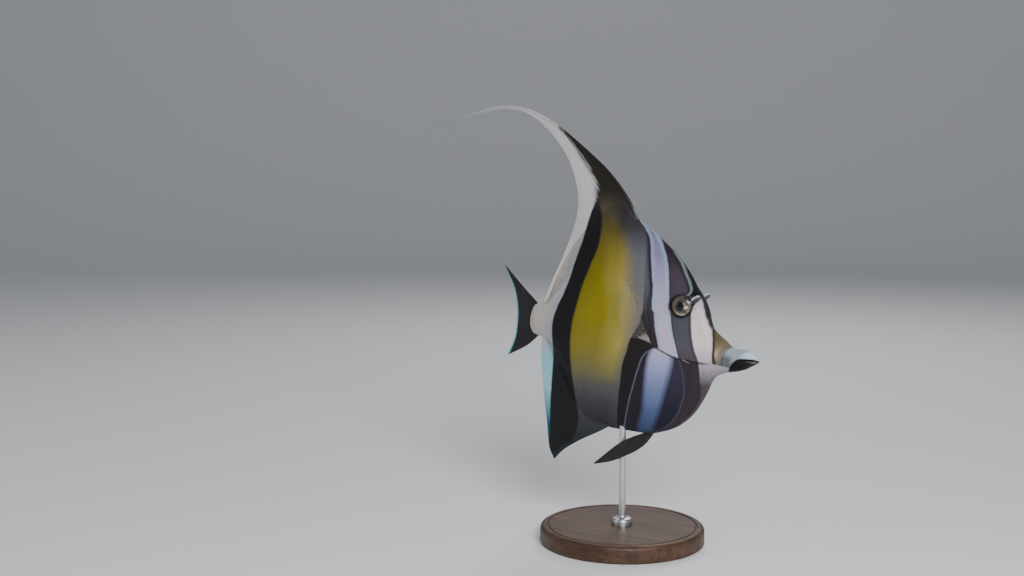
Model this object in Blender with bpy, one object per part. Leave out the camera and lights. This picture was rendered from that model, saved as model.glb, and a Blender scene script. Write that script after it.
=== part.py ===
"""A moorish idol, life size, as a still museum model on a plain display stand.

The fish is laid out in its own side view: "back" is the distance behind the tip of the
upper lip and "up" the height above it, both in millimetres, and "out" is the distance to
the fish's left of its middle plane. place() turns these into world metres: the nose points
along +X, the right flank faces -Y, and the tail end curves gently to the left.
"""
import math

import bmesh
import bpy
import numpy as np

MM = 0.001

# Stand, in millimetres. The rod stands at world X = 0 and Y = 0, under the belly.
BASE_RADIUS = 48.0
BASE_THICKNESS = 10.0
ROD_RADIUS = 2.0
COLLAR_RADIUS = 6.0
COLLAR_HEIGHT = 4.0
COLLAR_CHAMFER = 1.0
BASE_RIM = 2.5
BASE_FOOT_CHAMFER = 1.0
BASE_POCKET = 6.0
ROD_DEPTH_IN_BODY = 7.0

# Place of the fish, in millimetres.
LIP_X = 82.0
LIP_Z = 115.0

# Curve of the tail end to the fish's left, fading in the tall dorsal fin.
BEND_START = 95.0
BEND_CURVATURE = 0.0058
BEND_FADE_FROM = 40.0
BEND_FADE_SPAN = 80.0
BEND_FADE = 0.75

# Body, from the tip of the lower lip to the end of the tail stem.
LIP_BACK = -0.9
BODY_END = 148.0
STATIONS = 44
STEEP_WEIGHT = 0.6
SIDE_STEPS = 8
TOP_EDGE = [(-0.9, -1.9), (0.0, 0.5), (1.5, 2.1), (5.6, 3.9), (9.1, 4.2), (12.7, 4.3),
            (15.6, 5.6), (19.2, 8.6), (23.5, 11.8), (26.3, 14.6), (28.3, 19.8), (29.9, 26.4),
            (32.2, 31.8), (36.2, 37.4), (40.9, 45.4), (47.1, 53.4), (59.6, 64.6), (69.0, 71.7),
            (74.0, 75.0), (80.0, 77.6), (88.0, 77.4), (96.0, 73.5), (112.0, 58.0),
            (128.0, 34.5), (134.0, 25.6), (138.0, 22.3), (144.0, 21.4), (146.5, 18.8),
            (148.0, 14.5)]
LOW_EDGE = [(-0.9, -2.9), (0.3, -3.7), (1.9, -4.6), (7.2, -7.3), (12.4, -8.8), (15.4, -9.3),
            (20.1, -10.5), (24.3, -12.9), (27.2, -17.0), (29.4, -22.2), (36.7, -34.3),
            (42.7, -40.3), (48.9, -44.3), (55.1, -46.8), (65.8, -49.3), (80.6, -48.8),
            (89.0, -48.4), (97.0, -45.4), (106.0, -39.6), (114.0, -32.0), (129.0, -9.5),
            (134.0, -2.4), (138.0, 1.0), (144.0, 1.6), (146.5, 2.6), (148.0, 5.0)]
WIDEST = [(-0.9, -2.4), (10.0, -2.4), (20.0, 0.5), (30.0, 5.0), (42.0, 10.0), (58.0, 7.0),
          (80.0, 5.0), (110.0, 5.0), (135.0, 10.5), (148.0, 9.8)]
HALF_WIDTH = [(-0.9, 0.8), (0.0, 1.9), (1.5, 2.7), (5.0, 3.4), (10.0, 3.9), (15.0, 4.7),
              (20.0, 5.6), (25.0, 6.7), (30.0, 7.8), (36.0, 8.9), (42.0, 9.9), (50.0, 11.6),
              (58.0, 12.5), (66.0, 12.4), (80.0, 11.3), (95.0, 9.4), (110.0, 7.2),
              (125.0, 5.2), (135.0, 4.0), (144.0, 3.2), (148.0, 2.4)]
CREST_HALF = [(-0.9, 0.0), (25.0, 0.3), (60.0, 0.9), (140.0, 0.8), (148.0, 0.6)]
EDGE_POWER = [(-0.9, 0.5), (30.0, 0.52), (60.0, 0.78), (110.0, 0.85), (148.0, 0.7)]

# Gap between neighbouring solids, gap at the root of a fin, and the thickness of a fin.
GAP = 0.35
FIN_GAP = 0.42
FIN_THICKNESS = 0.7

# Reach of the cutters, well clear of the fish on every side.
AHEAD = -9.0
BEHIND = 190.0
ABOVE = 120.0
BELOW = -90.0
ASIDE = 60.0
CUTTERS_MEET = 40.0
SHARPEST_CORNER = 0.5

# Lines where the flesh is parted.
SNOUT_LINE = [(27.2, 24.0), (25.4, 10.0), (23.6, 0.0), (22.5, -14.0)]
MOUTH_LINE = [(-3.0, -0.6), (0.0, -0.8), (4.3, -1.2), (7.0, -1.4)]
MOUTH_OPEN = 1.3
JAW_LINE = [(7.0, -1.4), (11.0, -2.8), (14.0, -6.0), (15.4, -11.0)]
GILL_LINE = [(63.0, 80.0), (62.6, 55.0), (62.0, 36.0), (61.3, 26.0), (59.2, 13.0), (58.2, 4.2),
             (48.9, 0.0), (40.0, -3.4), (34.0, -7.0), (29.5, -14.0), (26.5, -24.0)]
TAIL_LINE = [(137.0, 32.0), (136.2, 12.0), (137.0, -8.0)]

# Gill cover plates.
GILL_COVER = [(66.0, 34.0), (52.0, 35.5), (49.6, 30.0), (48.4, 20.0), (46.0, 11.5),
              (41.0, 5.0), (37.0, -1.0), (38.5, -8.0), (70.0, -8.0)]
GILL_COVER_INNER = 7.0

# Eyes and brow horns, given for the right side.
EYE_CENTRE = (42.5, 27.0)
EYE_RADIUS = 6.3
EYE_DEPTH = 4.2
EYE_OUT = 5.0
HORN_ROOT = (37.4, 29.2, 4.4)
HORN_TIP = (32.2, 32.2, 6.8)
HORN_ROOT_RADIUS = 2.1
HORN_TIP_RADIUS = 1.4
HORN_TAPER = 0.8
HORN_CAP = 0.7
HORN_TURNS = 12
HORN_RINGS = 5

# Dorsal fin and its long streamer.
DORSAL_FROM = 74.5
DORSAL_TO = 136.6
DORSAL_LEAD = [(74.4, 75.6), (79.9, 86.0), (91.5, 100.1), (104.6, 111.5), (124.9, 126.5),
               (139.0, 134.0)]
DORSAL_REAR = [(139.0, 134.0), (138.9, 129.7), (131.8, 123.7), (124.8, 116.1), (118.4, 106.8),
               (112.9, 90.0), (113.8, 74.2), (123.4, 50.8), (133.3, 32.2), (136.8, 24.2)]
STREAMER_OUTER = [(139.4, 134.2), (149.5, 137.6), (157.0, 139.0), (165.0, 139.5),
                  (172.0, 139.1), (183.3, 137.0), (199.3, 132.7), (211.8, 130.0),
                  (223.7, 128.1)]
STREAMER_INNER = [(139.2, 130.1), (149.5, 135.3), (157.0, 137.0), (165.0, 137.5),
                  (172.0, 137.0), (183.3, 134.8), (199.3, 131.2), (211.8, 128.9),
                  (223.6, 127.6)]
STREAMER_SPLIT = 0.5
STREAMER_GAP = 0.004

# Anal fin, tail fin and pelvic fins.
ANAL_FROM = 86.0
ANAL_TO = 137.5
ANAL_LEAD = [(86.0, -48.95), (96.9, -51.1), (110.6, -58.1), (122.9, -65.8), (129.8, -72.4)]
ANAL_REAR = [(129.8, -72.4), (133.7, -65.3), (135.4, -49.3), (138.7, -25.3), (140.4, -6.1),
             (139.3, -0.1)]
TAIL_ROOT = [(144.7, 22.0), (147.3, 19.2), (148.6, 14.6), (148.7, 9.8), (148.6, 5.0),
             (147.0, 1.8), (144.6, 0.8)]
TAIL_TOP = [(144.7, 22.0), (160.0, 33.4), (175.3, 44.3)]
TAIL_REAR = [(175.3, 44.3), (165.1, 30.3), (161.6, 20.0), (161.0, 10.5), (163.2, -1.8),
             (170.4, -13.9)]
TAIL_BOTTOM = [(144.6, 0.8), (152.3, -5.6), (170.4, -13.9)]
PELVIC_ROOT = [(61.4, -49.0), (66.8, -49.9)]
PELVIC_LEAD = [(61.4, -49.0), (71.0, -58.6), (85.0, -66.3), (98.1, -69.9)]
PELVIC_TIP = [(98.1, -69.9), (97.6, -68.8)]
PELVIC_REAR = [(66.8, -49.9), (80.5, -54.9), (97.6, -68.8)]
PELVIC_ROOT_OUT = 1.7
PELVIC_TIP_OUT = 5.4
PELVIC_CURL = 0.7

# Pectoral fins: each ray runs from the root line to the rear margin.
PECTORAL_ROOT = [(58.6, 5.6), (65.8, 8.0)]
PECTORAL_LEAD = [(58.6, 5.6), (63.5, 20.5), (65.0, 29.0), (70.2, 42.3)]
PECTORAL_REAR = [(70.2, 42.3), (74.6, 34.0), (76.2, 22.0), (76.0, 12.5), (73.4, 7.6)]
PECTORAL_LEAN = 0.19
PECTORAL_BOW = 0.9


def smooth_function(points):
    """A smooth function through (x, y) points that never overshoots them."""
    x = np.array([p[0] for p in points], float)
    y = np.array([p[1] for p in points], float)
    step = np.diff(x)
    rise = np.diff(y) / step
    slope = np.zeros(len(x))
    slope[0] = rise[0]
    slope[-1] = rise[-1]
    for i in range(1, len(x) - 1):
        if rise[i - 1] * rise[i] > 0:
            near = 2 * step[i] + step[i - 1]
            far = step[i] + 2 * step[i - 1]
            slope[i] = (near + far) / (near / rise[i - 1] + far / rise[i])

    def value(at):
        at = min(max(at, x[0]), x[-1])
        k = min(int(np.searchsorted(x, at, side="right")) - 1, len(step) - 1)
        h = step[k]
        t = (at - x[k]) / h
        return ((1 + 2 * t) * (1 - t) ** 2 * y[k] + t * (1 - t) ** 2 * h * slope[k]
                + t * t * (3 - 2 * t) * y[k + 1] + t * t * (t - 1) * h * slope[k + 1])

    return value


def smooth_curve(points):
    """A smooth plane curve through points, as a function of its length from 0 to 1."""
    p = np.array(points, float)
    if len(p) == 2:
        return lambda t: p[0] + (p[1] - p[0]) * t
    run = np.concatenate(([0.0], np.cumsum(np.linalg.norm(np.diff(p, axis=0), axis=1))))
    tangent = np.zeros_like(p)
    tangent[1:-1] = (p[2:] - p[:-2]) / (run[2:] - run[:-2])[:, None]
    tangent[0] = (p[1] - p[0]) / run[1]
    tangent[-1] = (p[-1] - p[-2]) / (run[-1] - run[-2])

    def value(t):
        at = min(max(t, 0.0), 1.0) * run[-1]
        k = min(int(np.searchsorted(run, at, side="right")) - 1, len(p) - 2)
        h = run[k + 1] - run[k]
        u = (at - run[k]) / h
        return ((1 + 2 * u) * (1 - u) ** 2 * p[k] + u * (1 - u) ** 2 * h * tangent[k]
                + u * u * (3 - 2 * u) * p[k + 1] + u * u * (u - 1) * h * tangent[k + 1])

    return value


top_edge = smooth_function(TOP_EDGE)
low_edge = smooth_function(LOW_EDGE)
widest = smooth_function(WIDEST)
half_width = smooth_function(HALF_WIDTH)
crest_half = smooth_function(CREST_HALF)
edge_power = smooth_function(EDGE_POWER)


def bend(back, up):
    """How far the middle plane lies to the fish's left."""
    fade = min(max((up - BEND_FADE_FROM) / BEND_FADE_SPAN, 0.0), 1.0)
    keep = 1 - BEND_FADE * fade * fade * (3 - 2 * fade)
    return BEND_CURVATURE * max(back - BEND_START, 0.0) ** 2 / 2 * keep


def place(back, up, out):
    """World position in metres of a point given in the fish's own side view."""
    return ((LIP_X - back) * MM, (bend(back, up) + out) * MM, (LIP_Z + up) * MM)


def flank(back, up):
    """Half thickness of the body at a point of its side view."""
    top, low, mid = top_edge(back), low_edge(back), widest(back)
    reach = (up - mid) / (top - mid) if up > mid else (mid - up) / (mid - low)
    return flank_at(back, min(reach, 1.0))


def flank_at(back, reach):
    """Half thickness at a share of the way from the widest line to an edge."""
    crest = crest_half(back)
    body = (half_width(back) - crest) * (1 - reach ** 2) ** edge_power(back)
    return body + crest * math.sqrt(1 - reach ** 8)


def material(name, colour, roughness, metallic=0.0):
    """One Principled material."""
    made = bpy.data.materials.new(name)
    made.use_nodes = True
    shader = made.node_tree.nodes["Principled BSDF"]
    shader.inputs["Base Color"].default_value = (*colour, 1.0)
    shader.inputs["Roughness"].default_value = roughness
    shader.inputs["Metallic"].default_value = metallic
    made.diffuse_color = (*colour, 1.0)
    return made


def add_object(name, mesh, finish=None):
    """Put a mesh into the scene as a named object."""
    made = bpy.data.objects.new(name, mesh)
    bpy.context.scene.collection.objects.link(made)
    if finish is not None:
        mesh.materials.append(finish)
    return made


def mesh_from(name, points, faces):
    """A closed mesh with its faces turned outwards."""
    mesh = bpy.data.meshes.new(name)
    mesh.from_pydata(points, [], faces)
    shape = bmesh.new()
    shape.from_mesh(mesh)
    bmesh.ops.recalc_face_normals(shape, faces=shape.faces)
    if shape.calc_volume(signed=True) < 0:
        bmesh.ops.reverse_faces(shape, faces=shape.faces)
    shape.to_mesh(mesh)
    shape.free()
    return mesh


def smooth_shaded(made, degrees=40):
    """Round shading, with the true edges kept sharp."""
    made.data.shade_smooth()
    made.data.set_sharp_from_angle(angle=math.radians(degrees))
    return made


def stations():
    """Places of the body's cross sections, closer where an edge is steep."""
    fine = np.linspace(LIP_BACK, BODY_END, 1200)
    top = np.array([top_edge(b) for b in fine])
    low = np.array([low_edge(b) for b in fine])
    steep = np.maximum(abs(np.diff(top)), abs(np.diff(low)))
    run = np.hypot(np.diff(fine), STEEP_WEIGHT * steep)
    length = np.concatenate(([0.0], np.cumsum(run)))
    return np.interp(np.linspace(0, length[-1], STATIONS), length, fine)


def body_section(back, grow):
    """One ring round the body: down the right side from the top edge, and up the left."""
    top, low, mid = top_edge(back) + grow, low_edge(back) - grow, widest(back)
    ring = []
    for side in (-1, 1):
        for i in range(2 * SIDE_STEPS):
            height = -side * math.cos(math.pi * i / (2 * SIDE_STEPS))
            up = mid + height * (top - mid if height > 0 else mid - low)
            out = flank_at(back, abs(height)) + grow * math.sqrt(1 - height * height)
            ring.append(place(back, up, side * out))
    return ring


def body_mesh(name, grow=0.0):
    """The whole body as one closed loft, or that shape grown by a margin."""
    places = list(stations())
    places[0] -= grow
    places[-1] += grow
    rings = []
    for back in places:
        inside = min(max(back, LIP_BACK), BODY_END)
        ring = body_section(inside, grow)
        rings.append([((LIP_X - back) * MM, y, z) for _, y, z in ring])
    count = len(rings[0])
    points = [p for ring in rings for p in ring]
    faces = [tuple(range(count)), tuple(range(len(points) - count, len(points)))]
    for i in range(len(rings) - 1):
        for j in range(count):
            k = (j + 1) % count
            faces.append((i * count + j, i * count + k, (i + 1) * count + k, (i + 1) * count + j))
    return mesh_from(name, points, faces)


def inset(outline, distance):
    """A closed outline moved inwards, or outwards by a negative distance."""
    p = np.array(outline, float)
    turn = np.sum(p[:, 0] * np.roll(p[:, 1], -1) - np.roll(p[:, 0], -1) * p[:, 1])
    moved = []
    for i in range(len(p)):
        before = p[i] - p[i - 1]
        after = p[(i + 1) % len(p)] - p[i]
        before = before / np.linalg.norm(before)
        after = after / np.linalg.norm(after)
        normal = np.array((-before[1] - after[1], before[0] + after[0])) * math.copysign(1, turn)
        normal = normal / np.linalg.norm(normal)
        corner = max(SHARPEST_CORNER, math.sqrt(max(0.0, (1 + float(before @ after)) / 2)))
        moved.append(p[i] + normal * distance / corner)
    return moved


def prism(name, outline, low_out=-ASIDE, high_out=ASIDE):
    """A hidden cutter: a side-view outline carried straight across the fish."""
    points = []
    for out in (low_out, high_out):
        points += [((LIP_X - b) * MM, out * MM, (LIP_Z + u) * MM) for b, u in outline]
    n = len(outline)
    faces = [tuple(range(n)), tuple(range(n, 2 * n))]
    faces += [(i, (i + 1) % n, n + (i + 1) % n, n + i) for i in range(n)]
    return hide(add_object(name, mesh_from(name, points, faces)))


def hide(cutter):
    """Mark an object as a cutter that isn't part of the model."""
    cutter.hide_render = True
    cutter.display_type = 'WIRE'
    return cutter


def combine(made, cutter, operation):
    """Add one exact boolean step."""
    step = made.modifiers.new(cutter.name, 'BOOLEAN')
    step.solver = 'EXACT'
    step.operation = operation
    step.object = cutter
    return made


def line_points(points, steps=3):
    """A dividing line with a few extra points so that it runs smoothly."""
    curve = smooth_curve(points)
    count = steps * (len(points) - 1)
    return [tuple(curve(i / count)) for i in range(count + 1)]


def ellipsoid(name, centre, radii, grow=0.0, turns=18, rings=8):
    """A closed ellipsoid with its poles on the fish's left-right axis."""
    back, up, out = centre
    points = [place(back, up, out - radii[1] - grow)]
    for i in range(1, rings):
        tip = math.pi * i / rings
        for j in range(turns):
            round_angle = 2 * math.pi * j / turns
            wide = (radii[0] + grow) * math.sin(tip)
            points.append(place(back + wide * math.cos(round_angle),
                                up + wide * math.sin(round_angle),
                                out - (radii[1] + grow) * math.cos(tip)))
    points.append(place(back, up, out + radii[1] + grow))
    last = len(points) - 1
    faces = []
    for j in range(turns):
        k = (j + 1) % turns
        faces.append((0, 1 + j, 1 + k))
        faces.append((last, last - turns + k, last - turns + j))
        for i in range(rings - 2):
            row = 1 + i * turns
            faces.append((row + j, row + k, row + turns + k, row + turns + j))
    return mesh_from(name, points, faces)


def plate(name, grid, finish):
    """A thin closed plate over a grid of (back, up, out) points."""
    rows, columns = len(grid), len(grid[0])
    points = []
    for side in (-1, 1):
        for row in grid:
            points += [place(b, u, o + side * FIN_THICKNESS / 2) for b, u, o in row]
    half = rows * columns

    def index(side, i, j):
        return side * half + i * columns + j

    faces = []
    for i in range(rows - 1):
        for j in range(columns - 1):
            for side in (0, 1):
                faces.append((index(side, i, j), index(side, i + 1, j),
                              index(side, i + 1, j + 1), index(side, i, j + 1)))
    rim = [(0, j) for j in range(columns - 1)]
    rim += [(i, columns - 1) for i in range(rows - 1)]
    rim += [(rows - 1, j) for j in range(columns - 1, 0, -1)]
    rim += [(i, 0) for i in range(rows - 1, 0, -1)]
    for k, (i, j) in enumerate(rim):
        m, n = rim[(k + 1) % len(rim)]
        faces.append((index(0, i, j), index(0, m, n), index(1, m, n), index(1, i, j)))
    return smooth_shaded(add_object(name, mesh_from(name, points, faces), finish))


def fan(root, lead, margin, trail, rays, rows, hold=3.0):
    """A fin's grid: rays run from the root to the margin, between its two curved edges."""
    grid = []
    for i in range(rays + 1):
        t = i / rays
        ray = []
        for j in range(rows + 1):
            v = j / rows
            point = root(t) * (1 - v) + margin(t) * v
            point = point + (1 - t) ** hold * (lead(v) - lead(0) * (1 - v) - lead(1) * v)
            point = point + t ** hold * (trail(v) - trail(0) * (1 - v) - trail(1) * v)
            ray.append((point[0], point[1], 0.0))
        grid.append(ray)
    return grid


def edge_root(edge, first, last, lift):
    """A fin's root line, just clear of the body's edge."""
    return lambda t: np.array((first + (last - first) * t,
                               edge(first + (last - first) * t) + lift))


def make_flesh(skin):
    """The body, parted into snout, lower jaw, head, gill covers, trunk and tail stem."""
    snout_line = line_points(SNOUT_LINE)
    mouth = line_points(MOUTH_LINE)
    jaw = line_points(JAW_LINE)[1:]
    gill = line_points(GILL_LINE)
    tail = line_points(TAIL_LINE)
    corner = MOUTH_LINE[-1][0]
    opened = [(b, u - MOUTH_OPEN * (1 - max(b, 0.0) / corner)) for b, u in mouth]
    outlines = {
        "snout": [(AHEAD, mouth[0][1])] + mouth + jaw
                 + [(jaw[-1][0], BELOW), (snout_line[-1][0], BELOW)] + snout_line[::-1]
                 + [(snout_line[0][0], ABOVE), (AHEAD, ABOVE)],
        "lower_jaw": [(AHEAD, opened[0][1])] + opened + jaw
                     + [(jaw[-1][0], BELOW), (AHEAD, BELOW)],
        "head": snout_line + [(snout_line[-1][0], BELOW), (gill[-1][0], BELOW)] + gill[::-1]
                + [(gill[0][0], ABOVE), (snout_line[0][0], ABOVE)],
        "trunk": gill + [(gill[-1][0], BELOW), (tail[-1][0], BELOW)] + tail[::-1]
                 + [(tail[0][0], ABOVE), (gill[0][0], ABOVE)],
        "tail_stem": tail + [(tail[-1][0], BELOW), (BEHIND, BELOW), (BEHIND, ABOVE),
                             (tail[0][0], ABOVE)],
    }
    body = body_mesh("body")
    made = {}
    for name, outline in outlines.items():
        cutter = prism("cut_" + name, inset(outline, GAP / 2))
        made[name] = combine(add_object(name, body.copy(), skin[name]), cutter, 'INTERSECT')
    for side, name in ((-1, "right"), (1, "left")):
        span = sorted((side * GILL_COVER_INNER, side * ASIDE))
        wide = sorted((side * (GILL_COVER_INNER - GAP), side * ASIDE))
        plate_cut = prism("cut_gill_" + name, GILL_COVER, *span)
        room = prism("room_gill_" + name, inset(GILL_COVER, -GAP), *wide)
        cover = add_object("gill_cover_" + name, body.copy(), skin["gill_cover"])
        combine(cover, bpy.data.objects["cut_head"], 'INTERSECT')
        smooth_shaded(combine(cover, plate_cut, 'INTERSECT'))
        combine(made["head"], room, 'DIFFERENCE')
    for piece in made.values():
        smooth_shaded(piece)
    return made


def make_eyes_and_horns(head, eye_finish, horn_finish):
    """Eyes in their sockets, and the small horn in front of each."""
    shell = hide(add_object("body_grown", body_mesh("body_grown", GAP)))
    for side, name in ((-1, "right"), (1, "left")):
        centre = (*EYE_CENTRE, side * EYE_OUT)
        radii = (EYE_RADIUS, EYE_DEPTH)
        eye = ellipsoid("eye_" + name, centre, radii)
        smooth_shaded(add_object("eye_" + name, eye, eye_finish), 80)
        socket = ellipsoid("socket_" + name, centre, radii, GAP)
        room = hide(add_object("socket_" + name, socket))
        combine(head, room, 'DIFFERENCE')
        horn = add_object("horn_" + name, horn_mesh("horn_" + name, side), horn_finish)
        combine(horn, room, 'DIFFERENCE')
        smooth_shaded(combine(horn, shell, 'DIFFERENCE'), 60)


def horn_mesh(name, side):
    """A short blunt cone pointing forwards from the brow."""
    start = np.array(HORN_ROOT) * (1, 1, side)
    end = np.array(HORN_TIP) * (1, 1, side)
    along = (end - start) / np.linalg.norm(end - start)
    across = np.cross(along, (0.0, 0.0, 1.0))
    across = across / np.linalg.norm(across)
    other = np.cross(along, across)
    turns, rings = HORN_TURNS, HORN_RINGS
    points = []
    for i in range(rings + 1):
        t = i / rings
        radius = HORN_ROOT_RADIUS + (HORN_TIP_RADIUS - HORN_ROOT_RADIUS) * t ** HORN_TAPER
        for j in range(turns):
            angle = 2 * math.pi * j / turns
            spot = start + (end - start) * t
            spot = spot + radius * (math.cos(angle) * across + math.sin(angle) * other)
            points.append(place(*spot))
    tip = end + along * HORN_TIP_RADIUS * HORN_CAP
    points.append(place(*tip))
    faces = [tuple(range(turns))]
    for i in range(rings):
        for j in range(turns):
            k = (j + 1) % turns
            row = i * turns
            faces.append((row + j, row + k, row + turns + k, row + turns + j))
    for j in range(turns):
        faces.append((rings * turns + j, rings * turns + (j + 1) % turns, len(points) - 1))
    return mesh_from(name, points, faces)


def make_upright_fins(finish):
    """Dorsal fin, its streamer, anal fin and tail fin, all in the middle plane."""
    dorsal_root = edge_root(top_edge, DORSAL_FROM, DORSAL_TO, FIN_GAP)
    trail = smooth_curve([dorsal_root(1), DORSAL_REAR[-1]])
    plate("dorsal_fin", fan(dorsal_root, smooth_curve(DORSAL_LEAD), smooth_curve(DORSAL_REAR),
                            trail, 24, 6), finish["dorsal"])
    outer = smooth_curve(STREAMER_OUTER)
    inner = smooth_curve(STREAMER_INNER)
    parts = (("dorsal_streamer_front", 0.0, STREAMER_SPLIT, 14),
             ("dorsal_streamer_end", STREAMER_SPLIT + STREAMER_GAP, 1.0, 14))
    for name, first, last, steps in parts:
        grid = []
        for i in range(steps + 1):
            t = first + (last - first) * i / steps
            grid.append([(*(outer(t) * (1 - v) + inner(t) * v), 0.0) for v in (0.0, 0.5, 1.0)])
        plate(name, grid, finish["streamer"])
    anal_root = edge_root(low_edge, ANAL_FROM, ANAL_TO, -FIN_GAP)
    trail = smooth_curve([anal_root(1), ANAL_REAR[-1]])
    plate("anal_fin", fan(anal_root, smooth_curve(ANAL_LEAD), smooth_curve(ANAL_REAR),
                          trail, 18, 5, 2.0), finish["anal"])
    plate("caudal_fin", fan(smooth_curve(TAIL_ROOT), smooth_curve(TAIL_TOP),
                            smooth_curve(TAIL_REAR), smooth_curve(TAIL_BOTTOM), 16, 5),
          finish["caudal"])


def make_paired_fins(finish):
    """Pectoral fins raised from the flanks, and pelvic fins folded back under the belly."""
    pectoral = fan(smooth_curve(PECTORAL_ROOT), smooth_curve(PECTORAL_LEAD),
                   smooth_curve(PECTORAL_REAR),
                   smooth_curve([PECTORAL_ROOT[-1], PECTORAL_REAR[-1]]), 13, 5)
    pelvic = fan(smooth_curve(PELVIC_ROOT), smooth_curve(PELVIC_LEAD),
                 smooth_curve(PELVIC_TIP), smooth_curve(PELVIC_REAR), 4, 9, 1.0)
    for side, name in ((-1, "right"), (1, "left")):
        grid = []
        for i, ray in enumerate(pectoral):
            b0, u0, _ = ray[0]
            root_out = flank(b0, u0) + FIN_GAP + FIN_THICKNESS / 2
            bow = PECTORAL_BOW * math.sin(math.pi * i / (len(pectoral) - 1))
            lean = [PECTORAL_LEAN * math.hypot(b - b0, u - u0) for b, u, _ in ray]
            grid.append([(b, u, side * (root_out + far + bow * far / lean[-1]))
                         for far, (b, u, _) in zip(lean, ray)])
        plate("pectoral_fin_" + name, grid, finish["pectoral"])
        grid = []
        for ray in pelvic:
            lean = np.linspace(0, 1, len(ray))
            grid.append([(b, u, side * (PELVIC_ROOT_OUT + (PELVIC_TIP_OUT - PELVIC_ROOT_OUT)
                                        * v ** PELVIC_CURL)) for v, (b, u, _) in zip(lean, ray)])
        plate("pelvic_fin_" + name, grid, finish["pelvic"])


def turned(name, profile, finish, turns):
    """A solid of revolution about the rod's axis, from (radius, height) points."""
    points = []
    for radius, height in profile:
        for j in range(turns):
            angle = 2 * math.pi * j / turns
            points.append((radius * math.cos(angle) * MM, radius * math.sin(angle) * MM,
                           height * MM))
    faces = [tuple(range(turns)), tuple(range(len(points) - turns, len(points)))]
    for i in range(len(profile) - 1):
        for j in range(turns):
            k = (j + 1) % turns
            row = i * turns
            faces.append((row + j, row + k, row + turns + k, row + turns + j))
    return smooth_shaded(add_object(name, mesh_from(name, points, faces), finish), 50)


def make_stand(trunk, wood, metal):
    """A flat round base with one rod up into the belly."""
    rod_top = LIP_Z + low_edge(LIP_X) + ROD_DEPTH_IN_BODY
    foot = BASE_THICKNESS - BASE_POCKET
    straight = BASE_THICKNESS - BASE_RIM
    profile = [(BASE_RADIUS - BASE_FOOT_CHAMFER, 0.0), (BASE_RADIUS, BASE_FOOT_CHAMFER),
               (BASE_RADIUS, straight)]
    for i in range(1, 4):
        angle = math.pi / 2 * i / 3
        profile.append((BASE_RADIUS - BASE_RIM * (1 - math.cos(angle)),
                        straight + BASE_RIM * math.sin(angle)))
    base = turned("stand_base", profile, wood, 56)
    loose = ROD_RADIUS + GAP
    pocket = turned("pocket", [(loose, foot - GAP), (loose, CUTTERS_MEET)], None, 24)
    combine(base, hide(pocket), 'DIFFERENCE')
    collar = BASE_THICKNESS + GAP
    turned("stand_rod", [(ROD_RADIUS, foot), (ROD_RADIUS, collar), (COLLAR_RADIUS, collar),
                         (COLLAR_RADIUS, collar + COLLAR_HEIGHT - COLLAR_CHAMFER),
                         (COLLAR_RADIUS - COLLAR_CHAMFER, collar + COLLAR_HEIGHT),
                         (ROD_RADIUS, collar + COLLAR_HEIGHT), (ROD_RADIUS, rod_top)], metal, 20)
    bore = turned("bore", [(loose, CUTTERS_MEET), (loose, rod_top + GAP)], None, 24)
    combine(trunk, hide(bore), 'DIFFERENCE')


def main():
    for old in list(bpy.data.objects):
        bpy.data.objects.remove(old)
    pale = material("pale_skin", (0.72, 0.72, 0.76), 0.45)
    skin = {
        "snout": material("snout_skin", (0.62, 0.55, 0.42), 0.45),
        "lower_jaw": material("jaw_skin", (0.06, 0.055, 0.06), 0.45),
        "head": pale,
        "gill_cover": pale,
        "trunk": material("flank_skin", (0.62, 0.57, 0.16), 0.45),
        "tail_stem": material("tail_skin", (0.7, 0.68, 0.72), 0.45),
    }
    dark_fin = material("dark_fin", (0.03, 0.028, 0.03), 0.5)
    fins = {
        "dorsal": material("dorsal_skin", (0.5, 0.48, 0.48), 0.5),
        "streamer": material("streamer_skin", (0.8, 0.8, 0.84), 0.5),
        "anal": dark_fin,
        "caudal": dark_fin,
        "pelvic": dark_fin,
        "pectoral": material("clear_fin", (0.7, 0.68, 0.6), 0.35),
    }
    flesh = make_flesh(skin)
    make_eyes_and_horns(flesh["head"], material("eye", (0.12, 0.1, 0.09), 0.1),
                        material("horn_skin", (0.12, 0.11, 0.12), 0.45))
    make_upright_fins(fins)
    make_paired_fins(fins)
    make_stand(flesh["trunk"], material("dark_wood", (0.09, 0.045, 0.025), 0.4),
               material("steel", (0.6, 0.6, 0.62), 0.3, 1.0))


main()
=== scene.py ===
"""A moorish idol, life size, as a still museum model on a plain display stand: the looks.

The fish is laid out in its own side view, as in the solid model: "back" is the distance
behind the tip of the upper lip and "up" the height above it, in millimetres, and "out" is
the distance to the fish's left of its middle plane. place() gives world metres.
"""
import math

import bpy
import numpy as np
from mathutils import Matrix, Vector


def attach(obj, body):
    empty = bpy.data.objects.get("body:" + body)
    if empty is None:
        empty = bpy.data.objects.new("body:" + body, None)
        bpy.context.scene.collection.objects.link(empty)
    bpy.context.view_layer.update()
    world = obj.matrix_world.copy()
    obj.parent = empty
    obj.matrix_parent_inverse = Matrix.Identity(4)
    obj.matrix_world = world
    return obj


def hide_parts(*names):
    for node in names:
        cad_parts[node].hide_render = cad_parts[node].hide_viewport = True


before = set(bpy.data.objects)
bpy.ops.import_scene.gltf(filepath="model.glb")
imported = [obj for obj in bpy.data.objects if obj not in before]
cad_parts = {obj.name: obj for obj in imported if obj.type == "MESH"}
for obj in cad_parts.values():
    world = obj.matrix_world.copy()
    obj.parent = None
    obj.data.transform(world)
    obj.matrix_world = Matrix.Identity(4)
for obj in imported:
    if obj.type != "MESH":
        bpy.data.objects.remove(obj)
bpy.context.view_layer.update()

MM = 0.001

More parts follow.
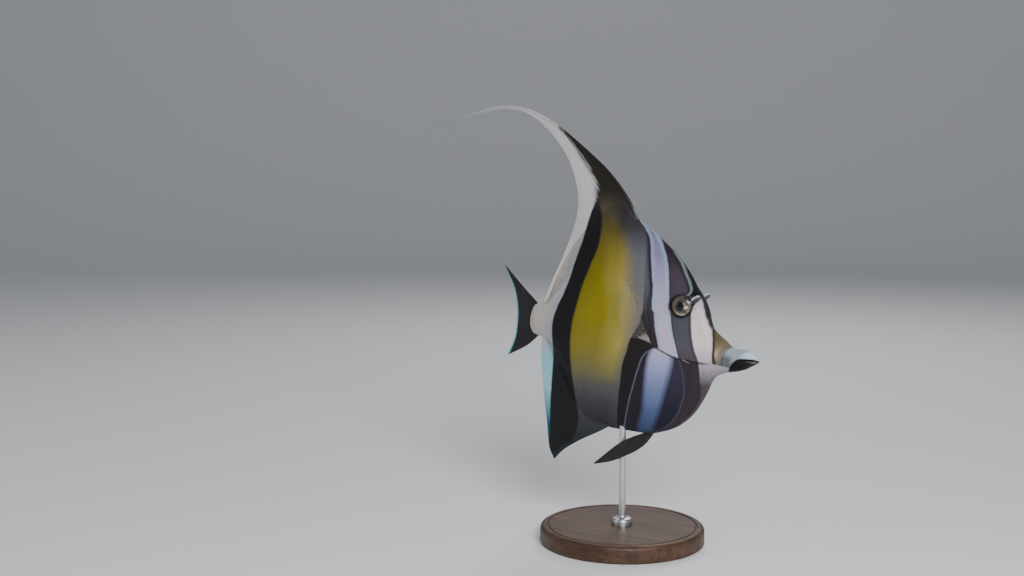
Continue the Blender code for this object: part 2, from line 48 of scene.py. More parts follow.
# Stand, in millimetres.
BASE_RADIUS = 48.0
BASE_THICKNESS = 10.0
ROD_RADIUS = 2.0
COLLAR_RADIUS = 6.0
COLLAR_HEIGHT = 4.0

# Place and bend of the fish, in millimetres.
LIP_X = 82.0
LIP_Z = 115.0
BEND_START = 95.0
BEND_CURVATURE = 0.0058
BEND_FADE_FROM = 40.0
BEND_FADE_SPAN = 80.0
BEND_FADE = 0.75

# Camera: 31 degrees in front of the fish's right side and 6 degrees above.
CAMERA_TURN = 31.0
CAMERA_RISE = 6.0
CAMERA_FROM_LIP = (282.324, -731.539, 119.828)
CAMERA_LENS = 50.0
CAMERA_SENSOR = 36.0

# Body, from the tip of the lower lip to the end of the tail stem.
COAT_DEPTH = 0.15
FIN_WEB = 5.0
LIP_BACK = -0.9
BODY_END = 148.0
SKIN_STATIONS = 400
SKIN_SIDE = 112
TOP_EDGE = [(-0.9, -1.9), (0.0, 0.5), (1.5, 2.1), (5.6, 3.9), (9.1, 4.2), (12.7, 4.3),
            (15.6, 5.6), (19.2, 8.6), (23.5, 11.8), (26.3, 14.6), (28.3, 19.8), (29.9, 26.4),
            (32.2, 31.8), (36.2, 37.4), (40.9, 45.4), (47.1, 53.4), (59.6, 64.6), (69.0, 71.7),
            (74.0, 75.0), (80.0, 77.6), (88.0, 77.4), (96.0, 73.5), (112.0, 58.0),
            (128.0, 34.5), (134.0, 25.6), (138.0, 22.3), (144.0, 21.4), (146.5, 18.8),
            (148.0, 14.5)]
LOW_EDGE = [(-0.9, -2.9), (0.3, -3.7), (1.9, -4.6), (7.2, -7.3), (12.4, -8.8), (15.4, -9.3),
            (20.1, -10.5), (24.3, -12.9), (27.2, -17.0), (29.4, -22.2), (36.7, -34.3),
            (42.7, -40.3), (48.9, -44.3), (55.1, -46.8), (65.8, -49.3), (80.6, -48.8),
            (89.0, -48.4), (97.0, -45.4), (106.0, -39.6), (114.0, -32.0), (129.0, -9.5),
            (134.0, -2.4), (138.0, 1.0), (144.0, 1.6), (146.5, 2.6), (148.0, 5.0)]
WIDEST = [(-0.9, -2.4), (10.0, -2.4), (20.0, 0.5), (30.0, 5.0), (42.0, 10.0), (58.0, 7.0),
          (80.0, 5.0), (110.0, 5.0), (135.0, 10.5), (148.0, 9.8)]
HALF_WIDTH = [(-0.9, 0.8), (0.0, 1.9), (1.5, 2.7), (5.0, 3.4), (10.0, 3.9), (15.0, 4.7),
              (20.0, 5.6), (25.0, 6.7), (30.0, 7.8), (36.0, 8.9), (42.0, 9.9), (50.0, 11.6),
              (58.0, 12.5), (66.0, 12.4), (80.0, 11.3), (95.0, 9.4), (110.0, 7.2),
              (125.0, 5.2), (135.0, 4.0), (144.0, 3.2), (148.0, 2.4)]
CREST_HALF = [(-0.9, 0.0), (25.0, 0.3), (60.0, 0.9), (140.0, 0.8), (148.0, 0.6)]
EDGE_POWER = [(-0.9, 0.5), (30.0, 0.52), (60.0, 0.78), (110.0, 0.85), (148.0, 0.7)]

# Head details.
EYE_CENTRE = (42.5, 27.0)
EYE_RADIUS = 6.2
EYE_OUT = 5.0
HORN_ROOT = (37.4, 29.2, 4.4)
HORN_TIP = (32.2, 32.2, 6.8)
HORN_ROOT_RADIUS = 2.1
HORN_TIP_RADIUS = 1.4
NOSTRILS = [(34.4, 25.6, 0.55), (33.2, 23.9, 0.4)]
MOUTH_LINE = [(-3.0, -0.2), (0.0, -0.5), (4.3, -0.8), (8.0, -1.0)]
MOUTH_OPEN = 1.5
GILL_EDGE = [(57.0, 41.0), (61.3, 33.0), (61.5, 24.0), (59.6, 13.0), (58.2, 4.2), (53.8, 1.9),
             (48.9, 0.0), (42.7, -2.3), (36.6, -3.6), (29.0, -4.3), (21.6, -5.4), (14.0, -7.0)]
CHEEK_EDGE = [(51.0, 36.0), (49.5, 27.0), (47.5, 18.0), (44.0, 9.0), (38.0, 2.5), (31.0, 0.0)]

# Fins.
DORSAL_FROM = 74.5
DORSAL_TO = 136.6
DORSAL_LEAD = [(74.4, 75.6), (79.9, 86.0), (91.5, 100.1), (104.6, 111.5), (124.9, 126.5),
               (139.0, 134.0)]
DORSAL_REAR = [(139.0, 134.0), (138.9, 129.7), (131.8, 123.7), (124.8, 116.1), (118.4, 106.8),
               (112.9, 90.0), (113.8, 74.2), (123.4, 50.8), (133.3, 32.2), (136.8, 24.2)]
STREAMER_OUTER = [(124.9, 126.5), (139.4, 134.2), (149.5, 137.6), (157.0, 139.0),
                  (165.0, 139.5), (172.0, 139.1), (183.3, 137.0), (199.3, 132.7),
                  (211.8, 130.0), (223.7, 128.1)]
STREAMER_INNER = [(126.5, 121.0), (138.9, 129.7), (149.5, 135.3), (157.0, 137.0),
                  (165.0, 137.5), (172.0, 137.0), (183.3, 134.8), (199.3, 131.2),
                  (211.8, 128.9), (223.6, 127.6)]
ANAL_FROM = 86.0
ANAL_TO = 137.5
ANAL_LEAD = [(86.0, -48.95), (96.9, -51.1), (110.6, -58.1), (122.9, -65.8), (129.8, -72.4)]
ANAL_REAR = [(129.8, -72.4), (133.7, -65.3), (135.4, -49.3), (138.7, -25.3), (140.4, -6.1),
             (139.3, -0.1)]
TAIL_ROOT = [(144.7, 22.0), (147.3, 19.2), (148.6, 14.6), (148.7, 9.8), (148.6, 5.0),
             (147.0, 1.8), (144.6, 0.8)]
TAIL_TOP = [(144.7, 22.0), (160.0, 33.4), (175.3, 44.3)]
TAIL_REAR = [(175.3, 44.3), (165.1, 30.3), (161.6, 20.0), (161.0, 10.5), (163.2, -1.8),
             (170.4, -13.9)]
TAIL_BOTTOM = [(144.6, 0.8), (152.3, -5.6), (170.4, -13.9)]
PELVIC_ROOT = [(61.4, -49.0), (66.8, -49.9)]
PELVIC_LEAD = [(61.4, -49.0), (71.0, -58.6), (85.0, -66.3), (98.1, -69.9)]
PELVIC_TIP = [(98.1, -69.9), (97.6, -68.8)]
PELVIC_REAR = [(66.8, -49.9), (80.5, -54.9), (97.6, -68.8)]
PELVIC_ROOT_OUT = 1.7
PELVIC_TIP_OUT = 5.4
PECTORAL_ROOT = [(58.6, 5.6), (65.8, 8.0)]
PECTORAL_LEAD = [(58.6, 5.6), (63.5, 20.5), (65.0, 29.0), (70.2, 42.3)]
PECTORAL_REAR = [(70.2, 42.3), (74.6, 34.0), (76.2, 22.0), (76.0, 12.5), (73.4, 7.6)]
PECTORAL_LEAN = 0.19
PECTORAL_BOW = 0.9


def smooth_function(points):
    """A smooth function through (x, y) points that never overshoots them."""
    x = np.array([p[0] for p in points], float)
    y = np.array([p[1] for p in points], float)
    step = np.diff(x)
    rise = np.diff(y) / step
    slope = np.zeros(len(x))
    slope[0] = rise[0]
    slope[-1] = rise[-1]
    for i in range(1, len(x) - 1):
        if rise[i - 1] * rise[i] > 0:
            near = 2 * step[i] + step[i - 1]
            far = step[i] + 2 * step[i - 1]
            slope[i] = (near + far) / (near / rise[i - 1] + far / rise[i])

    def value(at):
        at = np.clip(at, x[0], x[-1])
        k = np.clip(np.searchsorted(x, at, side="right") - 1, 0, len(step) - 1)
        h = step[k]
        t = (at - x[k]) / h
        return ((1 + 2 * t) * (1 - t) ** 2 * y[k] + t * (1 - t) ** 2 * h * slope[k]
                + t * t * (3 - 2 * t) * y[k + 1] + t * t * (t - 1) * h * slope[k + 1])

    return value


def smooth_curve(points):
    """A smooth plane curve through points, as a function of its length from 0 to 1."""
    p = np.array(points, float)
    run = np.concatenate(([0.0], np.cumsum(np.linalg.norm(np.diff(p, axis=0), axis=1))))
    tangent = np.zeros_like(p)
    if len(p) > 2:
        tangent[1:-1] = (p[2:] - p[:-2]) / (run[2:] - run[:-2])[:, None]
    tangent[0] = (p[1] - p[0]) / run[1]
    tangent[-1] = (p[-1] - p[-2]) / (run[-1] - run[-2])

    def value(t):
        at = np.clip(np.asarray(t, float), 0.0, 1.0) * run[-1]
        k = np.clip(np.searchsorted(run, at, side="right") - 1, 0, len(p) - 2)
        h = (run[k + 1] - run[k])[..., None]
        u = (at - run[k])[..., None] / h
        return ((1 + 2 * u) * (1 - u) ** 2 * p[k] + u * (1 - u) ** 2 * h * tangent[k]
                + u * u * (3 - 2 * u) * p[k + 1] + u * u * (u - 1) * h * tangent[k + 1])

    return value


def ease(low, high, value):
    """A smooth step from 0 at low to 1 at high."""
    t = np.clip((value - low) / (high - low), 0.0, 1.0)
    return t * t * (3 - 2 * t)


top_edge = smooth_function(TOP_EDGE)
low_edge = smooth_function(LOW_EDGE)
widest = smooth_function(WIDEST)
half_width = smooth_function(HALF_WIDTH)
crest_half = smooth_function(CREST_HALF)
edge_power = smooth_function(EDGE_POWER)


def bend(back, up):
    """How far the middle plane lies to the fish's left."""
    fade = ease(0.0, 1.0, (up - BEND_FADE_FROM) / BEND_FADE_SPAN)
    return BEND_CURVATURE * np.maximum(back - BEND_START, 0.0) ** 2 / 2 * (1 - BEND_FADE * fade)


def place(back, up, out):
    """World positions in metres, as an array with the coordinates last."""
    back, up, out = np.broadcast_arrays(np.asarray(back, float), up, out)
    return np.stack(((LIP_X - back) * MM, (bend(back, up) + out) * MM, (LIP_Z + up) * MM), -1)


def distance_to(line, back, up):
    """Distance to a smooth line, which side it is on, and how far along it, 0 to 1."""
    p = smooth_curve(line)(np.linspace(0, 1, 90))
    best = np.full(np.shape(back), 1e9)
    sign = np.ones(np.shape(back))
    along = np.zeros(np.shape(back))
    for i in range(len(p) - 1):
        a, d = p[i], p[i + 1] - p[i]
        t = np.clip(((back - a[0]) * d[0] + (up - a[1]) * d[1]) / (d @ d), 0, 1)
        x = back - a[0] - t * d[0]
        y = up - a[1] - t * d[1]
        far = np.hypot(x, y)
        closer = far < best
        best = np.where(closer, far, best)
        sign = np.where(closer, np.sign(d[0] * y - d[1] * x), sign)
        along = np.where(closer, (i + t) / (len(p) - 1), along)
    return best, sign, along


def relief(back, up):
    """How far the flank stands out from the plain body, in millimetres."""
    back, up = np.broadcast_arrays(back, up)
    out = np.zeros(up.shape)
    near, side, along = distance_to(GILL_EDGE, back, up)
    strong = ease(0.0, 0.12, along) * (1 - 0.75 * ease(0.6, 1.0, along))
    cover = np.where(side < 0, ease(0.0, 0.7, near) * np.exp(-near / 7.0), 0.0)
    out += 0.55 * strong * cover - 0.3 * strong * np.exp(-(near / 0.45) ** 2)
    near, side, along = distance_to(CHEEK_EDGE, back, up)
    strong = ease(0.0, 0.2, along) * ease(1.0, 0.8, along)
    out += 0.3 * strong * np.where(side < 0, np.exp(-near / 4.0) * ease(0, 3.0, near), 0.0)
    eye = np.hypot(back - EYE_CENTRE[0], up - EYE_CENTRE[1])
    out += 0.35 * np.exp(-((eye - EYE_RADIUS - 0.7) / 0.8) ** 2)
    out -= 4.5 * ease(EYE_RADIUS - 0.05, EYE_RADIUS - 1.0, eye)
    brow = np.hypot((back - 38.0) / 1.5, up - 31.6)
    out += 0.5 * np.exp(-(brow / 1.8) ** 2)
    for hole_back, hole_up, size in NOSTRILS:
        hole = np.hypot(back - hole_back, up - hole_up)
        out += 0.12 * np.exp(-((hole - size * 1.7) / 0.3) ** 2) - 0.7 * ease(size, 0.2 * size, hole)
    lobe_back, lobe_up = PECTORAL_ROOT[0], PECTORAL_ROOT[1]
    near, side, along = distance_to([lobe_back, lobe_up], back, up)
    out += 0.9 * np.exp(-(near / 2.1) ** 2)
    return out


def lips(back, up):
    """Extra fullness of the lips round the mouth."""
    rim = np.abs(up - np.interp(back, [-1, 0, 4.3, 7.0], [-1.2, -1.4, -1.5, -1.6]))
    return 0.45 * ease(6.5, 3.0, back) * np.exp(-((rim - 1.5) / 0.9) ** 2) * ease(-0.9, 0.6, back)


def fin_web(back, height):
    """How far the flesh runs out along the base of the dorsal and anal fins."""
    top = ease(DORSAL_FROM + 1.0, DORSAL_FROM + 11.0, back) * ease(DORSAL_TO, DORSAL_TO - 9.0, back)
    low = ease(ANAL_FROM + 5.0, ANAL_FROM + 22.0, back) * ease(ANAL_TO, ANAL_TO - 9.0, back)
    return FIN_WEB * np.where(height > 0, top, -low) * np.abs(height) ** 16


def skin_at(back, height):
    """The left skin as (back, up, out): height runs from -1 at the belly to 1 at the back."""
    top, low, mid = top_edge(back), low_edge(back), widest(back)
    up = mid + height * np.where(height > 0, top - mid, mid - low)
    reach = np.abs(height)
    crest = crest_half(back)
    out = (half_width(back) - crest) * (1 - reach ** 2) ** edge_power(back)
    out = out + crest * np.sqrt(np.maximum(1 - reach ** 8, 0))
    inner = np.sqrt(np.maximum(1 - reach ** 2, 0))
    firm = ease(0.0, 0.25, inner)
    out = out + (relief(back, up) + lips(back, up)) * firm - COAT_DEPTH * inner
    up = up - COAT_DEPTH * height + fin_web(back, height)
    return np.stack(np.broadcast_arrays(back, up, np.maximum(out, 0.0)), -1)


def flank(back, up):
    """Half thickness of the plain body at a point of its side view."""
    top, low, mid = top_edge(back), low_edge(back), widest(back)
    reach = np.clip(np.where(up > mid, (up - mid) / (top - mid), (mid - up) / (mid - low)), 0, 1)
    crest = crest_half(back)
    out = (half_width(back) - crest) * (1 - reach ** 2) ** edge_power(back)
    return out + crest * np.sqrt(1 - reach ** 8)


def stations(count):
    """Places of the body's cross sections, closer where an edge is steep."""
    fine = np.linspace(LIP_BACK, BODY_END, 3000)
    steep = np.maximum(abs(np.diff(top_edge(fine))), abs(np.diff(low_edge(fine))))
    length = np.concatenate(([0.0], np.cumsum(np.hypot(np.diff(fine), 0.6 * steep))))
    return np.interp(np.linspace(0, length[-1], count), length, fine)


def mesh_from(name, points, faces, smooth=True):
    """A mesh from an array of points and an array of faces with equal corner counts."""
    mesh = bpy.data.meshes.new(name)
    points = np.ascontiguousarray(points, dtype=np.float32).reshape(-1, 3)
    corners = faces.shape[1]
    mesh.vertices.add(len(points))
    mesh.vertices.foreach_set("co", points.ravel())
    mesh.loops.add(faces.size)
    mesh.loops.foreach_set("vertex_index", faces.astype(np.int32).ravel())
    mesh.polygons.add(len(faces))
    mesh.polygons.foreach_set("loop_start", np.arange(0, faces.size, corners, dtype=np.int32))
    mesh.update(calc_edges=True)
    mesh.validate()
    if smooth:
        mesh.shade_smooth()
    return mesh


def add_piece(name, mesh, replaced=(), finish=None):
    """Put a mesh into the scene as a piece of the model."""
    piece = bpy.data.objects.new(name, mesh)
    bpy.context.scene.collection.objects.link(piece)
    if finish is not None:
        mesh.materials.append(finish)
    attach(piece, "root")
    if replaced:
        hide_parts(*replaced)
    return piece


def loop_faces(rows, ring):
    """Faces of a tube of rings."""
    i, j = np.meshgrid(np.arange(rows - 1), np.arange(ring), indexing="ij")
    k = (j + 1) % ring
    return np.stack((i * ring + j, (i + 1) * ring + j, (i + 1) * ring + k, i * ring + k),
                    -1).reshape(-1, 4)


def closed_tube(name, rings):
    """A closed mesh over rings of points, with a small fan at each end."""
    rows, ring, _ = rings.shape
    points = np.concatenate((rings.reshape(-1, 3), rings[0].mean(0)[None], rings[-1].mean(0)[None]))
    j = np.arange(ring)
    k = (j + 1) % ring
    first = np.stack((np.full(ring, rows * ring), j, k, k), -1)
    last_row = (rows - 1) * ring
    last = np.stack((np.full(ring, rows * ring + 1), last_row + k, last_row + j, last_row + j), -1)
    mesh = mesh_from(name, points, loop_faces(rows, ring))
    shape = bmesh_of(mesh)
    shape.verts.ensure_lookup_table()
    for fan in (first, last):
        for corner in fan:
            shape.faces.new([shape.verts[n] for n in dict.fromkeys(corner.tolist())]).smooth = True
    return finish_shape(shape, mesh)


def bmesh_of(mesh):
    import bmesh
    shape = bmesh.new()
    shape.from_mesh(mesh)
    return shape


def finish_shape(shape, mesh):
    """Write an edited shape back, with its faces turned outwards."""
    import bmesh
    bmesh.ops.recalc_face_normals(shape, faces=shape.faces)
    if shape.calc_volume(signed=True) < 0:
        bmesh.ops.reverse_faces(shape, faces=shape.faces)
    shape.to_mesh(mesh)
    shape.free()
    mesh.update()
    return mesh


class Nodes:
    """Short hand for building a tree of shader nodes."""

    def __init__(self, tree):
        self.tree = tree

    def add(self, kind, **settings):
        node = self.tree.nodes.new(kind)
        for name, value in settings.items():
            setattr(node, name, value)
        return node

    def put(self, socket, value):
        if isinstance(value, bpy.types.NodeSocket):
            self.tree.links.new(value, socket)
        elif value is not None:
            if hasattr(socket, "default_value") and isinstance(value, tuple) and len(value) == 3:
                length = len(socket.default_value)
                value = (*value, 1.0) if length == 4 else value
            socket.default_value = value

    def math(self, operation, a, b=None, c=None, clamp=False):
        node = self.add("ShaderNodeMath", operation=operation, use_clamp=clamp)
        for socket, value in zip(node.inputs, (a, b, c)):
            self.put(socket, value)
        return node.outputs[0]

    def mix(self, share, a, b, blend='MIX'):
        node = self.add("ShaderNodeMix", data_type='RGBA', blend_type=blend)
        self.put(node.inputs[0], share)
        self.put(node.inputs[6], a)
        self.put(node.inputs[7], b)
        return node.outputs[2]

    def both(self, a, b):
        """The product of two masks."""
        return self.math('MULTIPLY', a, b)

    def shade(self, colour, strength):
        """A colour made lighter or darker."""
        grey = self.add("ShaderNodeCombineColor")
        for socket in grey.inputs:
            self.put(socket, strength)
        return self.mix(1.0, colour, grey.outputs[0], 'MULTIPLY')

    def noise(self, vector, scale, detail=3.0, rough=0.5):
        node = self.add("ShaderNodeTexNoise")
        self.put(node.inputs["Vector"], vector)
        node.inputs["Scale"].default_value = scale
        node.inputs["Detail"].default_value = detail
        node.inputs["Roughness"].default_value = rough
        return node.outputs["Fac"]

    def ramp(self, value, stops):
        """A colour ramp from (position, colour) stops."""
        node = self.add("ShaderNodeValToRGB")
        ramp = node.color_ramp
        ramp.elements[0].position, ramp.elements[1].position = stops[0][0], stops[-1][0]
        ramp.elements[0].color = (*stops[0][1], 1)
        ramp.elements[1].color = (*stops[-1][1], 1)
        for position, colour in stops[1:-1]:
            ramp.elements.new(position).color = (*colour, 1)
        self.put(node.inputs[0], value)
        return node.outputs[0]

    def span(self, value, low, high, to_low=0.0, to_high=1.0):
        """Map a value from one span to another, held at the ends."""
        node = self.add("ShaderNodeMapRange", clamp=True)
        for socket, given in zip(node.inputs, (value, low, high, to_low, to_high)):
            self.put(socket, given)
        return node.outputs[0]

    def curve(self, value, points):
        """A smooth function through (x, y) points."""
        xs = [p[0] for p in points]
        ys = [p[1] for p in points]
        x0, x1, y0, y1 = min(xs), max(xs), min(ys), max(ys)
        y1 = y1 if y1 > y0 else y0 + 1.0
        node = self.add("ShaderNodeFloatCurve")
        node.mapping.extend = 'HORIZONTAL'
        line = node.mapping.curves[0]
        spots = sorted(((x - x0) / (x1 - x0), (y - y0) / (y1 - y0)) for x, y in points)
        line.points[0].location = spots[0]
        line.points[1].location = spots[-1]
        for spot in spots[1:-1]:
            line.points.new(*spot)
        for point in line.points:
            point.handle_type = 'AUTO_CLAMPED'
        node.mapping.update()
        self.put(node.inputs[1], self.span(value, x0, x1))
        return self.math('MULTIPLY_ADD', node.outputs[0], y1 - y0, y0)

    def past(self, value, edge, soft):
        """1 where a value is past an edge, with a soft step."""
        gap = self.math('SUBTRACT', value, edge)
        return self.math('MULTIPLY_ADD', gap, 1.0 / soft, 0.5, clamp=True)

    def stroke(self, back, up, first, last, half, soft=0.5):
        """1 within a distance of a straight line from one (back, up) point to another."""
        run, rise = last[0] - first[0], last[1] - first[1]
        length = max(run * run + rise * rise, 1e-6)
        x = self.math('SUBTRACT', back, first[0])
        y = self.math('SUBTRACT', up, first[1])
        along = self.math('MULTIPLY_ADD', x, run / length, self.math('MULTIPLY', y, rise / length),
                          clamp=True)
        x = self.math('MULTIPLY_ADD', along, -run, x)
        y = self.math('MULTIPLY_ADD', along, -rise, y)
        away = self.math('SQRT', self.math('ADD', self.math('MULTIPLY', x, x),
                                           self.math('MULTIPLY', y, y)))
        return self.math('MULTIPLY_ADD', away, -1.0 / soft, half / soft + 0.5, clamp=True)

    def line(self, value, edge, width, offset=0.0):
        """1 on an edge, or beside it by an offset, falling to 0 half a width away."""
        gap = self.math('SUBTRACT', value, edge)
        gap = self.math('ABSOLUTE', self.math('SUBTRACT', gap, offset))
        return self.math('MULTIPLY_ADD', gap, -2.0 / width, 1.4, clamp=True)


# Edges of the markings: (up, back) points, so that each is a function of height.
SADDLE_FRONT = [(6.5, 13.4), (5.0, 15.0), (2.6, 17.7), (-1.9, 19.2), (-6.0, 20.1)]
SADDLE_REAR = [(14.0, 25.6), (12.4, 25.0), (6.2, 23.3), (0.7, 23.0), (-6.0, 22.2)]
CHEEK_FRONT = [(31.5, 33.2), (30.2, 32.2), (26.9, 30.9), (21.9, 29.5), (16.7, 27.7),
               (11.4, 25.4), (6.1, 24.3), (-5.0, 24.2)]
CHEEK_REAR = [(31.5, 33.6), (29.8, 34.2), (28.3, 34.9), (22.9, 36.4), (16.8, 36.1), (8.5, 35.2),
              (2.9, 34.0), (-3.8, 31.9), (-9.4, 31.5), (-17.0, 31.4), (-23.0, 32.0),
              (-29.1, 34.4), (-34.7, 38.6), (-40.6, 45.0)]
STRIPE_FRONT = [(72.0, 67.5), (64.5, 59.5), (57.4, 55.0), (49.3, 51.8), (38.4, 49.8),
                (30.2, 48.8), (21.9, 47.7), (13.5, 46.5), (5.2, 44.6), (-1.6, 43.0)]
STRIPE_REAR = [(78.0, 76.5), (74.7, 73.4), (68.2, 67.4), (62.7, 64.1), (54.6, 62.2),
               (43.5, 60.2), (34.2, 58.7), (27.5, 58.7), (24.6, 58.4), (22.6, 57.2),
               (18.6, 56.9), (10.2, 55.4), (4.7, 54.2), (-3.0, 53.0)]
BAR_REAR = [(80.0, 76.0), (72.6, 71.7), (67.1, 67.7), (57.2, 65.5), (46.1, 64.7), (35.0, 64.2),
            (26.6, 64.2), (18.1, 65.7), (11.0, 69.3), (5.6, 72.5), (-1.0, 74.5), (-8.7, 77.4),
            (-17.8, 79.1), (-30.0, 81.6), (-40.0, 83.6), (-50.0, 85.2)]
PALE_REAR = [(84.0, 88.0), (73.4, 84.5), (65.1, 79.6), (56.8, 76.4), (48.5, 75.0), (40.0, 75.0),
             (25.0, 71.5), (10.0, 73.5), (-10.0, 80.0), (-50.0, 86.0)]
REAR_BAR_FRONT = [(90.0, 99.0), (82.6, 98.0), (76.4, 96.2), (67.5, 95.3), (58.8, 96.3),
                  (48.7, 100.1), (40.6, 103.6), (31.2, 107.2), (23.5, 109.6), (14.3, 112.2),
                  (5.1, 113.8), (-3.8, 114.3), (-12.9, 114.1), (-21.7, 113.7), (-30.9, 113.3),
                  (-37.5, 112.5), (-45.0, 111.7), (-51.2, 112.8), (-57.8, 116.0),
                  (-61.8, 121.6), (-66.0, 127.5), (-72.0, 134.0)]
REAR_BAR_REAR = [(140.0, 139.0), (132.0, 131.0), (124.8, 124.2), (118.0, 117.3), (110.5, 111.7),
                 (100.7, 104.5), (88.3, 100.1), (82.1, 101.6), (75.9, 104.0), (70.2, 106.1),
                 (59.4, 109.1), (48.0, 113.1), (38.7, 116.1), (30.0, 119.9), (19.0, 125.8),
                 (12.9, 127.9), (6.7, 128.9), (-2.2, 128.9), (-11.1, 130.3), (-23.7, 131.6),
                 (-35.7, 132.4), (-51.2, 132.9), (-61.4, 133.6), (-72.0, 135.0)]
FOREHEAD_LINE = [(66.0, 61.0), (56.3, 50.3), (50.9, 45.6), (44.5, 41.9), (39.1, 39.0),
                 (35.3, 37.9), (33.2, 38.9), (32.4, 40.8)]
BREAST_LINE_REAR = [(4.1, 54.2), (1.5, 59.2), (-2.3, 63.6), (-9.5, 66.9), (-19.9, 70.7),
                    (-29.2, 74.2), (-38.7, 77.4), (-49.0, 81.2)]
BREAST_LINE_FRONT = [(4.1, 54.2), (2.7, 50.1), (0.0, 46.2), (-4.4, 42.6), (-11.7, 40.5),
                     (-20.4, 40.4), (-29.4, 42.7), (-37.5, 47.1), (-43.8, 54.0), (-49.0, 64.0)]
BREAST_BAND_REAR = [(3.5, 55.5), (0.3, 59.0), (-10.3, 61.9), (-22.2, 63.8), (-34.4, 66.3),
                    (-44.2, 70.5), (-49.0, 72.5)]
BREAST_BAND_FRONT = [(3.2, 51.5), (-2.3, 47.0), (-12.2, 48.9), (-21.1, 51.6), (-33.4, 55.8),
                     (-45.1, 61.9)]
DARK_CHIN = (0.006, 0.006, 0.008)
MINT = (0.18, 0.235, 0.238)

# The gill line and the edge of the dark chin: (back, up) points.
GILL_LINE = [(10.0, -7.6), (21.6, -5.1), (32.4, -3.8), (42.7, -2.3), (48.9, 0.0), (53.8, 2.4),
             (58.2, 4.6), (62.0, 7.0)]
CHIN_LINE = [(-2.0, -1.0), (4.3, -0.6), (8.0, -0.5), (10.5, -1.2), (12.5, -2.9), (14.4, -5.4),
             (16.0, -9.0), (18.0, -40.0), (24.0, -90.0)]


def pattern_group():
    """The fish's markings as a node group that gives the colour of any place on it."""
    tree = bpy.data.node_groups.new("markings", "ShaderNodeTree")
    tree.interface.new_socket("Color", in_out='OUTPUT', socket_type='NodeSocketColor')
    n = Nodes(tree)
    where = n.add("ShaderNodeTexCoord").outputs["Object"]
    split = n.add("ShaderNodeSeparateXYZ")
    n.put(split.inputs[0], where)
    cloud = n.noise(where, 55.0, 4.0)
    wobble = n.math('SUBTRACT', n.noise(where, 260.0, 2.0), 0.5)
    back = n.math('MULTIPLY_ADD', split.outputs[0], -1000.0, LIP_X)
    back = n.math('MULTIPLY_ADD', wobble, 0.7, back)
    up = n.math('MULTIPLY_ADD', split.outputs[2], 1000.0, -LIP_Z)
    colour = snout_colours(n, back, up)
    colour = eye_bar_colours(n, back, up, colour)
    colour = stripe_colours(n, back, up, colour, cloud)
    colour = breast_colours(n, back, up, colour)
    colour = flank_colours(n, back, up, colour)
    colour = rear_colours(n, back, up, colour)
    colour = n.mix(n.stroke(back, up, EYE_CENTRE, EYE_CENTRE, EYE_RADIUS + 0.7, 1.2), colour,
                   (0.009, 0.008, 0.01))
    out = n.add("NodeGroupOutput")
    n.put(out.inputs["Color"], n.shade(colour, n.math('MULTIPLY_ADD', cloud, 0.22, 0.89)))
    return tree


def snout_colours(n, back, up):
    """Lips, dark chin, tan saddle of the snout and the pale cheek."""
    grey = n.mix(n.past(back, 13.5, 3.0), (0.37, 0.41, 0.5), (0.14, 0.15, 0.175))
    lips = n.mix(n.past(up, n.math('MULTIPLY_ADD', back, 0.12, -1.6), 3.0), grey,
                 (0.4, 0.45, 0.53))
    lips = n.mix(n.past(7.0, back, 5.0), lips, (0.44, 0.51, 0.61))
    chin = n.curve(back, CHIN_LINE)
    colour = n.mix(n.past(up, chin, 1.0), DARK_CHIN, lips)
    front = n.curve(up, SADDLE_FRONT)
    saddle = n.ramp(n.span(up, -6.0, 10.0), [(0.0, (0.19, 0.15, 0.12)), (0.4, (0.66, 0.51, 0.38)),
                                             (0.7, (0.24, 0.185, 0.11)), (1.0, (0.13, 0.1, 0.05))])
    saddle = n.mix(n.both(n.line(back, front, 4.0, 1.0), 0.7), saddle, (0.14, 0.12, 0.1))
    colour = n.mix(n.past(back, front, 1.0), colour, saddle)
    colour = n.mix(n.both(n.line(back, front, 1.4, -0.5), 0.5), colour, (0.06, 0.055, 0.06))
    rear = n.curve(up, SADDLE_REAR)
    colour = n.mix(n.past(back, rear, 0.8), colour, (0.05, 0.03, 0.026))
    colour = n.mix(n.both(n.line(back, rear, 1.0), 0.7), colour, (0.05, 0.03, 0.026))
    brow = n.mix(n.past(up, 16.0, 8.0), (0.06, 0.042, 0.04), (0.028, 0.024, 0.032))
    colour = n.mix(n.both(n.past(up, 13.0, 2.0), n.past(back, rear, 1.0)), colour, brow)
    cheek = n.ramp(n.span(up, -4.0, 30.0), [(0.0, (0.56, 0.5, 0.55)), (0.3, (0.93, 0.77, 0.83)),
                                            (0.7, (0.88, 0.74, 0.79)), (1.0, (0.7, 0.59, 0.62))])
    behind_chin = n.both(n.past(back, n.curve(up, CHEEK_FRONT), 0.8), n.past(up, chin, 1.0))
    colour = n.mix(behind_chin, colour, cheek)
    lower_lip = n.line(up, n.math('MULTIPLY_ADD', back, 0.1, -2.65), 0.8)
    lower_lip = n.both(lower_lip, n.past(4.2, back, 4.0))
    return n.mix(n.both(lower_lip, 0.7), colour, (0.15, 0.11, 0.085))


